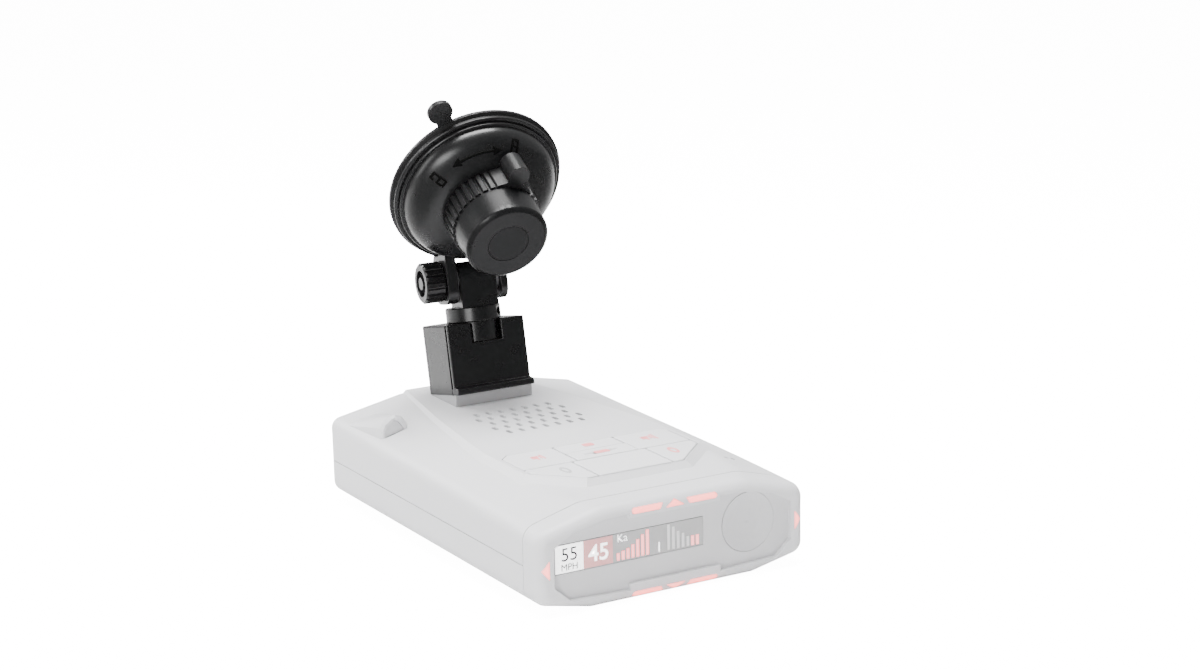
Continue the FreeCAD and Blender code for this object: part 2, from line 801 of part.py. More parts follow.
mat_plate = prism("mat_plate", "xy", mat_right + mirrored(mat_right)[::-1], MAT_LOW, "0.8")
domes = [
    cone(f"dome_{name}", (x, y, f"{MAT_LOW} + 0.7"), "2.6", "1.8", "0.8")
    for name, (x, y) in DOMES.items()
]
node("keypad_mat", fuse("keypad_mat_body", mat_plate, *domes), plateau_frame)
node("key_board", prism(
    "key_board_body", "xy", mat_right + mirrored(mat_right)[::-1], f"{MAT_LOW} - 1.05", "1.0",
), plateau_frame)

speaker_basket = turned("speaker_basket", [
    ("0", "0"), ("speaker_radius - 5", "0"), ("speaker_radius - 4", "2.2"), ("speaker_radius", "3.4"),
    ("speaker_radius", "speaker_depth"), ("speaker_radius - 1.6", "speaker_depth"),
    ("speaker_radius - 6", "speaker_depth - 2.2"), ("0", "speaker_depth - 1.2"),
])
node("speaker", speaker_basket, plateau_frame * Placement(
    Vector(0, speaker_y, -wall - size("speaker_depth") - 0.1), Rotation(),
))

board_half = "(case_width / 2 - 5)"
board_base = prism("board_base", "xy", [
    (f"-{board_half}", f"{FRONT} + 24"), ("13.5", f"{FRONT} + 24"), ("13.5", f"{FRONT} + 27"),
    (board_half, f"{FRONT} + 27"), (board_half, f"{REAR} - 7"), (f"-{board_half}", f"{REAR} - 7"),
], "board_height", "board_thickness")
board_clear = at_bosses("board_clear", "boss_radius + 1.6", "0", "seam_height")
shield = box("shield", ("-32", f"{FRONT} + 42", "board_height + board_thickness"), ("24", "20", "2.6"))
chip = box("chip", ("8", f"{FRONT} + 44", "board_height + board_thickness"), ("12", "12", "1.2"))
chip_small = box("chip_small", ("-30", f"{REAR} - 58", "board_height + board_thickness"), ("7", "9", "1.1"))
board_holes = fuse("board_holes", *[
    rod(f"board_hole_{i}", (x, y, "0"), "screw_radius + 0.15", "20")
    for i, (x, y) in enumerate([
        ("-26", f"{FRONT} + 30"), ("10", f"{FRONT} + 30"), ("-26", f"{REAR} - 20"), ("26", f"{REAR} - 20"),
    ])
])
node("main_board", cut(
    "main_board_body", fuse("board_solid", board_base, shield, chip, chip_small), board_clear, board_holes,
))
TOP = "board_height + board_thickness"
board_screw_parts = []
for i, (x, y) in enumerate([
    ("-26", f"{FRONT} + 30"), ("10", f"{FRONT} + 30"), ("-26", f"{REAR} - 20"), ("26", f"{REAR} - 20"),
]):
    head = rod(f"board_screw_head_{i}", (x, y, TOP), "2.0", "1.3")
    shank = rod(f"board_screw_shank_{i}", (x, y, "4"), "screw_radius", f"{TOP} - 4")
    board_screw_parts += [head, shank]
node("board_screws", fuse("board_screws_body", *board_screw_parts))
node("gps_antenna", box("gps_antenna_body", ("14", f"{FRONT} + 62", TOP), ("15", "15", "4")))

HORN_Y = f"({REAR} - 34)"
horn_block = box("horn_block", ("-18", HORN_Y, f"{TOP} + 0.4"), ("36", "30", "12"))
horn = doc.addObject("Part::Wedge", "horn_flare")
for prop, text in {
    "Xmin": "-15.5", "Xmax": "15.5", "Zmin": "-4.8", "Zmax": "4.8", "X2min": "-5", "X2max": "5",
    "Z2min": "-2.4", "Z2max": "2.4", "Ymin": "0", "Ymax": "24",
}.items():
    bind(horn, prop, text)
put(horn, ("0", f"{HORN_Y} + 30.01", f"{TOP} + 6.4"), Rotation(Vector(0, 0, 1), 180))
node("front_antenna", cut("front_antenna_body", horn_block, horn))
node("rear_window", box(
    "rear_window_body",
    ("-30 + fit_gap", f"{REAR} - wall", "seam_height + 1.4 + fit_gap"),
    ("60 - 2 * fit_gap", "wall - 0.3", "9.5 - 2 * fit_gap"),
))
rear_block = box(
    "rear_block", ("lens_place - 8.5", f"{MODULE_Y} + 0.6", "lens_height - 8.5"), ("17", "14", "17"),
)
rear_flare = cone(
    "rear_flare", ("lens_place", f"{MODULE_Y} + 0.5", "lens_height"), "7.4", "3.0", "11", "y",
)
node("rear_antenna", cut("rear_antenna_body", rear_block, rear_flare))

pod_window_shape = Part.Face(pod_wire(POD_FACE, rear - POD_FACE_INSET + 0.35, 1.4)).extrude(Vector(0, 1.2, 0))
case_lid = shaped("case_lid", case_volume(0.0, bezel_seam, rear))
node("laser_window", cut("laser_window_body", shaped("laser_window_solid", pod_window_shape), case_lid))
node("laser_sensor", box(
    "laser_sensor_body", ("-case_width / 2 + 5.4", f"{REAR} - 30.0", "27.0"), ("4.6", "2.6", "3.4"),
))
sensor_rods = [
    rod(f"sensor_rod_{i}", (x, f"{FRONT} + 23", "26"), "0.6", "10") for i, x in enumerate(("32.3", "34.6"))
]
node("sensor_lenses", common(
    "sensor_lenses_body", group("sensor_rods", *sensor_rods),
    shaped("sensor_skin", case_volume(0.15, front + 5, rear)),
))

# ---- dock seat on the case, in the row frame ------------------------------------------------

LEAN = "tan(dock_lean)"
seat_block = prism("seat_block", "yz", [
    (f"{SEAT_Y} - seat_front", "plateau_height - 1.3"),
    (f"{SEAT_Y} + seat_rear", "plateau_height - 1.3"),
    (f"{SEAT_Y} + seat_rear", f"dock_lift - seat_rear * {LEAN}"),
    (f"{SEAT_Y} - seat_front", f"dock_lift + seat_front * {LEAN}"),
], "-seat_width / 2", "seat_width")


def pair(name, radius, low, length_text):
    """Two rods side by side in the dock's own frame, where the magnets sit."""
    return [
        rod(f"{name}_{side}", (f"{sign} * magnet_place", "1.0", low), radius, length_text)
        for side, sign in (("left", "-1"), ("right", "1"))
    ]


def pins(name, radius, low, length_text):
    """Four rods in a row in the dock's own frame, where the contacts sit."""
    return [
        rod(f"{name}_{i}", (f"{i - 1.5} * pin_pitch", "-4.6", low), radius, length_text) for i in range(4)
    ]


seat_wells = placed(
    fuse("seat_wells", *pair("keeper_well", "magnet_radius + fit_gap", "-0.9", "5"),
         *pins("pad_well", "pin_radius + 0.4", "-1.2", "5")),
    dock_frame,
)
seat_clear = placed(box("seat_clear", ("-30", "-30", "-0.04"), ("60", "60", "20")), dock_frame)
node("dock_seat", cut("dock_seat_body", seat_block, seat_wells, seat_clear))
node(
    "seat_magnets", group("seat_magnets_body", *pair("keeper", "magnet_radius", "-0.85", "0.75")),
    dock_frame,
)
node(
    "seat_contacts", group("seat_contacts_body", *pins("pad", "pin_radius + 0.3", "-1.15", "0.45")),
    dock_frame,
)

# ---- dock, in its own frame: bottom centre at the origin, front towards -Y --------------------

PLATE_BACK = "(-dock_depth / 2 + plate_thickness + plate_groove)"
STEM_Y = "(-stem_offset)"
shell_block = box(
    "shell_block",
    ("-dock_width / 2", PLATE_BACK, "0"),
    ("dock_width", "dock_depth - plate_thickness - plate_groove", "dock_height"),
)
shell_hollow = box(
    "shell_hollow",
    ("-dock_width / 2 + dock_wall", f"{PLATE_BACK} - 1", "dock_wall"),
    (
        "dock_width - 2 * dock_wall", "dock_depth - plate_thickness - plate_groove - dock_wall + 1",
        "dock_height - 2 * dock_wall",
    ),
)
drum_bore = rod("drum_bore", ("0", STEM_Y, "dock_height - 5"), "drum_radius + drum_clearance", "10")
pin_bores = fuse("pin_bores", *pins("pin_bore", "pin_radius + 0.08", "-1", "5"))
magnet_wells = fuse("magnet_wells", *pair("magnet_well", "magnet_radius + fit_gap", "0.6", "5"))
socket_hole = box("socket_hole", ("-4.6", "dock_depth / 2 - 4", "5.4"), ("9.2", "6", "3.4"))
shell_round = doc.addObject("Part::Fillet", "shell_round")
shell_round.Base = shell_block
doc.recompute()
shell_round.Edges = [
    (i + 1, 0.5, 0.5) for i, edge_shape in enumerate(shell_block.Shape.Edges)
    if edge_shape.BoundBox.YMin > size("dock_depth") / 2 - 0.01
    or (edge_shape.BoundBox.ZMin > size("dock_height") - 0.01 and edge_shape.BoundBox.XLength < 0.01)
]
node("dock_shell", cut(
    "dock_shell_body", shell_round, shell_hollow, drum_bore, pin_bores, magnet_wells, socket_hole,
), dock_frame)

plate_face = prism("plate_face", "xz", [
    ("-dock_width / 2", "0"), ("dock_width / 2", "0"), ("dock_width / 2", "dock_height"),
    ("notch_width / 2", "dock_height"), ("notch_width / 2", "dock_height - notch_height"),
    ("-notch_width / 2", "dock_height - notch_height"), ("-notch_width / 2", "dock_height"),
    ("-dock_width / 2", "dock_height"),
], "-dock_depth / 2", "plate_thickness")
plate_back = prism("plate_back", "xz", [
    ("-dock_width / 2 + 0.9", "lip_height"), ("dock_width / 2 - 0.9", "lip_height"),
    ("dock_width / 2 - 0.9", "dock_height - 0.6"), ("drum_radius", "dock_height - 0.6"),
    ("drum_radius", "dock_height - notch_height - 0.6"), ("-drum_radius", "dock_height - notch_height - 0.6"),
    ("-drum_radius", "dock_height - 0.6"), ("-dock_width / 2 + 0.9", "dock_height - 0.6"),
], "-dock_depth / 2 + plate_thickness", "plate_groove - 0.02")
plate_foot = box(
    "plate_foot", ("-dock_width / 2", "-dock_depth / 2", "0"),
    ("dock_width", "plate_thickness + plate_groove - 0.02", "lip_height - 0.4"),
)
lip_side = prism("lip_side", "yz", [
    ("-dock_depth / 2 + 0.1", "0"), ("-dock_depth / 2 + 0.1", "lip_height"),
    ("-dock_depth / 2 - lip_reach", "lip_height - 0.5"), ("-dock_depth / 2 - lip_reach", "0"),
], "-dock_width / 2", "dock_width")
node("dock_plate", fuse("dock_plate_body", plate_face, plate_back, plate_foot, lip_side), dock_frame)

node("dock_magnets", group("dock_magnets_body", *pair("magnet", "magnet_radius", "0.65", "3")), dock_frame)
contact_plate = box("contact_plate", ("-7.5", "-6.6", "6.6"), ("15", "4.2", "1.0"))
node("contact_board", contact_plate, dock_frame)
pin_tips = pins("pin_tip", "pin_radius", "-pin_travel + 0.02", "4.5")
pin_collars = pins("pin_collar", "pin_radius + 0.5", "dock_wall + 0.1", "0.8")
pin_bar = box("pin_bar", ("-1.9 * pin_pitch", "-5.6", "dock_wall + 0.9"), ("3.8 * pin_pitch", "2.0", "1.0"))
node("contact_pins", fuse("contact_pins_body", *pin_tips, *pin_collars, pin_bar), dock_frame)
socket_body = box("socket_body", ("-4.5", "dock_depth / 2 - 8", "5.5"), ("9", "7.6", "3.2"))
socket_mouth = box("socket_mouth", ("-4.1", "dock_depth / 2 - 6.5", "5.9"), ("8.2", "8", "2.4"))
socket_tongue = box("socket_tongue", ("-3.2", "dock_depth / 2 - 6.6", "6.8"), ("6.4", "5", "0.6"))
node(
    "power_socket",
    fuse("power_socket_body", cut("socket_shell", socket_body, socket_mouth), socket_tongue),
    dock_frame,
)

FORK_Z = "(dock_height - drum_height - neck_height + 1.15)"
fork_plate = box(
    "fork_plate",
    ("-dock_width / 2 + dock_wall + 0.05", f"{PLATE_BACK} + 0.1", FORK_Z),
    (
        "dock_width - 2 * dock_wall - 0.1",
        "dock_depth - dock_wall - plate_thickness - plate_groove - 0.2", "1.2",
    ),
)
fork_eye = rod("fork_eye", ("0", STEM_Y, f"{FORK_Z} - 1"), "neck_groove_radius + 0.3", "4")
fork_slot = box(
    "fork_slot", ("-neck_groove_radius - 0.3", "-dock_depth", f"{FORK_Z} - 1"),
    ("2 * neck_groove_radius + 0.6", f"dock_depth + {STEM_Y}", "4"),
)
node("retaining_fork", cut("retaining_fork_body", fork_plate, fork_eye, fork_slot), dock_frame)

# ---- swivel, in its own frame: Z is the stem's axis -------------------------------------------

DRUM_Z = "(dock_height - drum_height)"
drum = turned("drum", [
    ("post_radius", f"{DRUM_Z} - neck_height"), ("neck_radius_low", f"{DRUM_Z} - neck_height"),
    ("neck_radius_low", f"{FORK_Z} - 0.2"), ("neck_groove_radius", f"{FORK_Z} - 0.2"),
    ("neck_groove_radius", f"{FORK_Z} + 1.4"), ("neck_radius_low", f"{FORK_Z} + 1.4"),
    ("neck_radius_low", DRUM_Z), ("drum_radius", DRUM_Z),
    ("drum_radius", "dock_height + 0.1"), ("post_radius", "dock_height + 0.1"),
])
node("swivel_drum", drum, swivel_frame)
COLLAR_Z = "(dock_height + 0.1)"
collar = turned("collar", [
    ("post_radius", COLLAR_Z), ("collar_radius - 0.3", COLLAR_Z), ("collar_radius", f"{COLLAR_Z} + 0.3"),
    ("collar_radius", f"{COLLAR_Z} + collar_height - 0.3"),
    ("collar_radius - 0.3", f"{COLLAR_Z} + collar_height"),
    ("post_radius", f"{COLLAR_Z} + collar_height"),
])
SCREW_ANGLES = {"near": -40.0, "far": 50.0}


def radial(name, radius, start, length_text):
    """Rods that point out of the collar, one for each set screw."""
    rods = []
    for label, angle in SCREW_ANGLES.items():
        base = rod(
            f"{name}_{label}", (start, "0", f"{COLLAR_Z} + collar_height / 2"), radius, length_text,
            "x",
        )
        rods.append(placed(base, Placement(Vector(), Rotation(Vector(0, 0, 1), angle))))
    return rods


screw_threads = fuse("screw_threads", *radial("screw_thread", "1.3", "post_radius - 1", "8"))
node("swivel_collar", cut("swivel_collar_body", collar, screw_threads), swivel_frame)
set_screw_rods = group("set_screw_rods", *radial("set_screw", "1.28", "post_radius + 0.05", "2.6"))
hex_sockets = fuse("hex_sockets", *radial("hex_socket", "0.7", "post_radius + 1.2", "4"))
node("set_screws", cut("set_screws_body", set_screw_rods, hex_sockets), swivel_frame)

HINGE_Z = "(hinge_height - dock_height - 0.1 - collar_height)"
knuckle_block = box(
    "knuckle_block",
    ("-knuckle_width / 2", "-knuckle_radius", f"-{HINGE_Z}"),
    ("knuckle_width", "2 * knuckle_radius", HINGE_Z),
)
knuckle_top = rod("knuckle_top", ("-knuckle_width / 2", "0", "0"), "knuckle_radius", "knuckle_width", "x")
knuckle_post = rod(
    "knuckle_post", ("0", "hinge_forward", "dock_height - drum_height - neck_height - hinge_height"),
    "post_radius",
    "hinge_height - dock_height + drum_height + neck_height - knuckle_radius - 1.5",
)
post_cap = common("post_cap", knuckle_post, box(
    "post_space", ("-20", "-20", "-60"), ("40", "40", f"60 - {HINGE_Z} + 0.01"),
))
knuckle_bore = rod("knuckle_bore", ("-20", "0", "0"), "bolt_radius + bolt_clearance", "40", "x")
node("hinge_knuckle", cut(
    "hinge_knuckle_body", fuse("knuckle_solid", knuckle_block, knuckle_top, post_cap), knuckle_bore,
), hinge_frame)

CLEVIS = "(knuckle_width / 2 + washer_thickness + 2 * washer_play)"
washers = [
    cut(
        f"washer_{side}",
        rod(f"washer_{side}_disc", (start, "0", "0"), "knuckle_radius - 0.3", "washer_thickness", "x"),
        rod(f"washer_{side}_hole", ("-20", "0", "0"), "bolt_radius + bolt_clearance", "40", "x"),
    )
    for side, start in (
        ("left", "-knuckle_width / 2 - washer_thickness - washer_play"),
        ("right", "knuckle_width / 2 + washer_play"),
    )
]
node("friction_washers", group("friction_washers_body", *washers), hinge_frame)

LEFT_FACE = f"({CLEVIS} + left_ear)"
RIGHT_FACE = f"({CLEVIS} + right_ear)"
bolt_shank = rod("bolt_shank", (f"-{LEFT_FACE} - knob_length + 2.2", "0", "0"), "bolt_radius",
                 f"{LEFT_FACE} + knob_length - 2.2 + {RIGHT_FACE} - 1.4", "x")
bolt_head = box("bolt_head", (f"{RIGHT_FACE} - 1.5", "-2.5", "-2.5"), ("1.1", "5", "5"))
bolt_slot = box("bolt_slot", (f"-{LEFT_FACE} - knob_length + 1", "-0.35", "-3"), ("2.1", "0.7", "6"))
node(
    "hinge_bolt", cut("hinge_bolt_body", fuse("hinge_bolt_solid", bolt_shank, bolt_head), bolt_slot),
    hinge_frame,
)

# ---- thumb knob: a ribbed drum with a ring sunk in its face --------------------------------------


def ribbed_wire(root, rib, count, height):
    """A round outline with blunt ribs, in the XY plane at one height."""
    spots = []
    step = math.tau / count
    for i in range(int(count)):
        for share, radius in ((0.0, root), (0.18, root), (0.34, root + rib), (0.84, root + rib)):
            angle = (i + share) * step
            spots.append(Vector(radius * math.cos(angle), radius * math.sin(angle), height))
    return Part.makePolygon(spots + spots[:1])


knob_drum = shaped("knob_drum", Part.Face(
    ribbed_wire(size("knob_radius") - 0.55, 0.55, size("knob_ribs"), 0)
).extrude(Vector(0, 0, size("knob_length"))))
knob_envelope = turned("knob_envelope", [
    ("0", "0"), ("knob_radius - 0.4", "0"), ("knob_radius + 0.1", "0.5"),
    ("knob_radius + 0.1", "knob_length - 0.7"),
    ("knob_radius - 0.7", "knob_length"), ("0", "knob_length"),
])
face_ring = turned("face_ring", [
    ("2.1", "knob_length - 1.6"), ("4.1", "knob_length - 1.6"), ("4.3", "knob_length + 1"),
    ("1.9", "knob_length + 1"),
])
knob_bore = rod("knob_bore", ("0", "0", "-1"), "bolt_radius + bolt_clearance", "knob_length - 1.1")
nut_well = rod("nut_well", ("0", "0", "-1"), "3.8", "3.5")
clevis_half = size("knuckle_width") / 2 + size("washer_thickness") + 2 * size("washer_play")
knob_frame = hinge_frame * Placement(
    Vector(-(clevis_half + size("left_ear") + 0.2), 0, 0),
    Rotation(Vector(0, 1, 0), -90),
)
node("thumb_knob", cut(
    "thumb_knob_body", common("knob_shape", knob_drum, knob_envelope), face_ring, knob_bore, nut_well,
), knob_frame)
nut_prism = doc.addObject("Part::Prism", "nut_prism")
nut_prism.Polygon = 6
bind(nut_prism, "Circumradius", "3.7")
bind(nut_prism, "Height", "2.3")
bind(nut_prism, "Placement.Base.z", "0.1")
nut_bore = rod("nut_bore", ("0", "0", "-1"), "bolt_radius + bolt_clearance", "5")
node("knob_nut", cut("knob_nut_body", nut_prism, nut_bore), knob_frame)

# ---- suction cup, in its own frame: Z = 0 is the flange, the driver is towards +Z -------------------

pad_disc = turned("pad_disc", [
    ("0", "0"), ("9.4", "0"), ("16", "0"), ("flange_radius - 5", "-0.6"), ("flange_radius - 4", "-1"),
    ("flange_radius - 0.4", "-1"), ("flange_radius", "-0.6"), ("flange_radius", "0.4"),
    ("rim_radius - 0.4", "1.15"), ("rim_radius - 5", "1.15"), ("16", "2.1"), ("9.4", "2.5"),
    ("9.4", "0.5"), ("0", "0.5"),
])
tab_disc = rod("tab_disc", ("tab_reach", "0", "-0.8"), "tab_radius", "1.5")
tab_neck = box(
    "tab_neck", ("flange_radius - 2", "-2.5", "-0.8"), ("tab_reach - flange_radius + 2", "5", "1.2"),
)
tab = placed(
    fuse("tab_solid", tab_disc, tab_neck),
    Placement(Vector(), Rotation(Vector(0, 0, 1), size("tab_angle"))),
)
node("suction_pad", fuse("suction_pad_body", pad_disc, tab), cup_frame)

# dome: stepped rim, then an arc that leans in to a flat neck under the lock ring
DOME_STEPS = 6


def dome_points(rim, neck, low, high):
    """Points of the dome's arc from its foot at the rim to the neck."""
    points = []
    for i in range(DOME_STEPS + 1):
        angle = math.pi / 2 * i / DOME_STEPS * 0.8
        across = math.sin(angle) / math.sin(math.pi / 2 * 0.8)
        up = (1 - math.cos(angle)) / (1 - math.cos(math.pi / 2 * 0.8))
        points.append((across, up))
    return [(rim - (rim - neck) * up, low + (high - low) * across) for across, up in points]


def arc_through(points):
    """A smooth curve through (radius, height) points, drawn in the XZ plane."""
    curve = Part.BSplineCurve()
    curve.interpolate([Vector(radius, 0, height) for radius, height in points])
    return curve.toShape()


def dome_solid(rim_steps, dome, close):
    """A turned solid whose outline is straight rim steps, the dome's curve and a straight closing."""
    spots = [Vector(radius, 0, height) for radius, height in rim_steps + dome[:1]]
    edges = [Part.LineSegment(a, b).toShape() for a, b in zip(spots, spots[1:])]
    edges.append(arc_through(dome))
    spots = [Vector(radius, 0, height) for radius, height in dome[-1:] + close + rim_steps[:1]]
    edges += [Part.LineSegment(a, b).toShape() for a, b in zip(spots, spots[1:])]
    return Part.Face(Part.Wire(edges)).revolve(Vector(), Vector(0, 0, 1), 360)


rim, neck = size("rim_radius"), size("neck_radius")
dome_top, dome_wall = size("dome_height"), size("dome_wall")
rim_steps = [
    (0, 1.3), (rim, 1.3), (rim, 2.3), (rim - 0.3, 2.6), (rim - 1.0, 2.6), (rim - 1.0, 2.2), (rim - 1.4, 2.2),
    (rim - 1.4, 3.5), (rim - 1.7, 3.8),
]
dome_outer = shaped("dome_outer", dome_solid(
    rim_steps, dome_points(rim - 2.5, neck, 3.8, dome_top), [(0, dome_top)],
))
inner_rim = rim - 2.5 - dome_wall
dome_inner = shaped("dome_inner", dome_solid(
    [(0, -3), (inner_rim, -3)], dome_points(inner_rim, neck - dome_wall, 2.2, dome_top - dome_wall),
    [(0, dome_top - dome_wall)],
))
hub = rod("hub", ("0", "0", "dome_height - dome_wall - 2.5"), "hub_radius", "dome_wall + 8")
hub_bore = rod("hub_bore", ("0", "0", "-5"), "plunger_radius + 0.12", "40")
pin_slots = box(
    "pin_slots", ("-hub_radius - 1", "-1.1", "dome_height + 3.2"), ("2 * hub_radius + 2", "2.2", "10"),
)


def ear(name, inner_face, outer_face):
    """A hinge ear: rounded corners below the bolt, straight sides, its back edge cut along the glass."""
    start, thickness = (inner_face, f"{outer_face} - {inner_face}") if name == "right" else (
        f"-{outer_face}", f"{outer_face} - {inner_face}")
    low, half = "(ear_drop - ear_corner)", "(ear_half - ear_corner)"
    corners = [
        rod(f"{name}_ear_corner_{end}", (start, f"{sign}{half}", f"-{low}"), "ear_corner", thickness, "x")
        for end, sign in (("front", "-"), ("rear", ""))
    ]
    blade = prism(f"{name}_ear_blade", "yz", [
        ("-ear_half", f"-{low}"), ("ear_half", f"-{low}"), ("ear_half + 1.4", "3"),
        ("ear_half + 1.4", "16"), ("-ear_half", "16"),
    ], start, thickness)
    sole = box(f"{name}_ear_sole", (start, f"-{half}", "-ear_drop"), (thickness, f"2 * {half}", "ear_drop"))
    return fuse(f"{name}_ear", *corners, blade, sole)


to_cup = cup_frame.inverse() * hinge_frame
ears = placed(
    fuse("ears_solid", ear("left", CLEVIS, LEFT_FACE), ear("right", CLEVIS, RIGHT_FACE)), to_cup,
)
behind_glass = box("behind_glass", ("-60", "-60", "-60.7"), ("120", "120", "60"))
pad_space = rod("pad_space", ("0", "0", "-10"), "flange_radius + 0.3", "11.3")
beyond_dome = rod("beyond_dome", ("0", "0", "4"), "neck_radius + 4", "40")
ears_trimmed = cut("ears_trimmed", ears, behind_glass, pad_space, beyond_dome, dome_inner)
bolt_space = placed(fuse(
    "bolt_space_solid",
    rod("bolt_hole", ("-20", "0", "0"), "bolt_radius + bolt_clearance", "40", "x"),
    box("head_well", (f"{RIGHT_FACE} - 1.6", "-2.7", "-2.7"), ("5", "5.4", "5.4")),
), to_cup)
node("cup_housing", cut(
    "cup_housing_body",
    fuse("housing_solid", cut("dome_shell", dome_outer, dome_inner), hub, ears_trimmed),
    hub_bore, pin_slots, bolt_space,
), cup_frame)

# the plunger is drawn up at rest, with its whole travel left below its head
HEAD_LOW = "(0.6 + plunger_travel)"
plunger_head = turned("plunger_head", [
    ("0", HEAD_LOW), ("8.2", HEAD_LOW), ("9.1", f"{HEAD_LOW} + 0.6"), ("9.1", f"{HEAD_LOW} + 1.6"),
    ("plunger_radius", f"{HEAD_LOW} + 2"), ("0", f"{HEAD_LOW} + 2"),
])
plunger_stem = rod(
    "plunger_stem", ("0", "0", f"{HEAD_LOW} + 1"), "plunger_radius", f"dome_height + 8 - {HEAD_LOW}",
)
pin_hole = rod("pin_hole", ("-20", "0", "dome_height + 6.3"), "0.83", "40", "x")
node("plunger", cut("plunger_body", fuse("plunger_solid", plunger_head, plunger_stem), pin_hole), cup_frame)
node("cam_pin", rod("cam_pin_body", ("-7.4", "0", "dome_height + 6.3"), "0.8", "14.8", "x"), cup_frame)

spring_path = doc.addObject("Part::Helix", "spring_path")
SPRING_LENGTH = f"(dome_height - dome_wall - 3.6 - {HEAD_LOW} - 2)"
bind(spring_path, "Pitch", f"{SPRING_LENGTH} / spring_turns")
bind(spring_path, "Height", SPRING_LENGTH)
bind(spring_path, "Radius", "plunger_radius + 1.4")
spring_wire = doc.addObject("Part::Circle", "spring_wire")
bind(spring_wire, "Radius", "0.35")
put(spring_wire, ("plunger_radius + 1.4", "0", "0"), Rotation(Vector(1, 0, 0), 90))
spring = doc.addObject("Part::Sweep", "spring")
spring.Sections = [spring_wire]
spring.Spine = (spring_path, ["Edge1"])
spring.Solid = True
spring.Frenet = True
spring_low = 2.6 + size("plunger_travel") + 0.5
node("plunger_spring", spring, cup_frame * Placement(Vector(0, 0, spring_low), Rotation()))

# lock ring: ribbed band with a round handle lobe; the barrel closes it towards the driver
lock_low = dome_top + 0.2
lock_root = size("lock_radius")
lobe_reach, lobe_radius = size("lobe_reach"), size("lobe_radius")


def lobe_solid():
    """The handle: a round pin beside the ring on a neck that flares into the band."""
    height = size("lock_height")
    pin_shape = Part.makeCylinder(lobe_radius, height, Vector(lobe_reach, 0, 0))
    waist = lobe_radius * 0.56
    flare = [
        (lock_root - 2.6, 6.2), (lock_root - 0.1, 5.6), (lock_root + 0.6, 4.3), (lock_root + 1.3, 3.1),
        (lock_root + 2.1, waist + 0.3),
        (lobe_reach - 2.0, waist), (lobe_reach, waist),
    ]
    spots = [Vector(x, -y, 0) for x, y in flare] + [Vector(x, y, 0) for x, y in reversed(flare)]
    neck_shape = Part.Face(Part.makePolygon(spots + spots[:1])).extrude(Vector(0, 0, height))
    lobe_shape = pin_shape.fuse(neck_shape)
    lobe_shape.rotate(Vector(), Vector(0, 0, 1), size("lobe_angle"))
    return lobe_shape


band_outline = ribbed_wire(lock_root, size("lock_rib"), size("lock_ribs"), 0)
band = Part.Face(band_outline).extrude(Vector(0, 0, size("lock_height")))
lock_band = shaped("lock_band", band.fuse(lobe_solid()), Placement(Vector(0, 0, lock_low), Rotation()))
lock_hollow = rod("lock_hollow", ("0", "0", "dome_height + 2.0"), "lock_radius - 1.4", "lock_height")
lock_bore = rod("lock_bore", ("0", "0", "dome_height - 1"), "hub_radius + hub_clearance", "10")
node("lock_ring", cut("lock_ring_body", lock_band, lock_hollow, lock_bore), cup_frame)

LOCK_TOP = "(dome_height + 0.2 + lock_height)"
barrel_skin = turned("barrel_skin", [
    ("0", LOCK_TOP), ("barrel_radius", LOCK_TOP), ("barrel_nose_radius", "barrel_top - barrel_bevel"),
    ("barrel_nose_radius - 0.3", "barrel_top - barrel_bevel + 0.5"),
    ("barrel_nose_radius - barrel_bevel", "barrel_top"), ("0", "barrel_top"),
])
barrel_skirt = rod("barrel_skirt", ("0", "0", "dome_height + 2.3"), "lock_radius - 1.5", "lock_height - 1")
barrel_hollow = rod(
    "barrel_hollow", ("0", "0", "dome_height"), "lock_radius - 3.1", "barrel_top - dome_height - 1.8",
)
cam_tube = cut(
    "cam_tube",
    rod("cam_tube_outer", ("0", "0", "dome_height + 7.2"), "8.6", "barrel_top - dome_height - 8.6"),
    rod("cam_tube_inner", ("0", "0", "dome_height"), "hub_radius + 0.4", "barrel_top - dome_height - 1.8"),
)
disc_well = rod("disc_well", ("0", "0", "barrel_top - 0.6"), "disc_radius + fit_gap", "2")
node("lock_barrel", cut(
    "lock_barrel_body",
    fuse(
        "barrel_solid",
        cut("barrel_shell", fuse("barrel_outer", barrel_skin, barrel_skirt), barrel_hollow), cam_tube,
    ),
    disc_well,
), cup_frame)
node("end_disc", rod("end_disc_body", ("0", "0", "barrel_top - 0.6"), "disc_radius", "0.5"), cup_frame)

# ---- checks and export ------------------------------------------------------------------------------

doc.recompute()
for obj in doc.Objects:
    if any(state in ("Invalid", "Error") for state in obj.State):
        raise RuntimeError(f"{obj.Name} failed: {obj.State}")
for name, obj in nodes.items():
    if obj.Shape.isNull() or not obj.Shape.isValid() or not obj.Shape.Solids:
        raise RuntimeError(f"{name} has no valid solid")

os.makedirs("parts", exist_ok=True)
for name, obj in nodes.items():
    obj.Shape.exportStep(f"parts/{name}.step")
    print(f"{name}: {len(obj.Shape.Solids)} solids, {obj.Shape.Volume:.1f} mm3")
print(len(nodes), "nodes")
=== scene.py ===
import json
import math

import bmesh
import bpy
from mathutils import Matrix, Vector


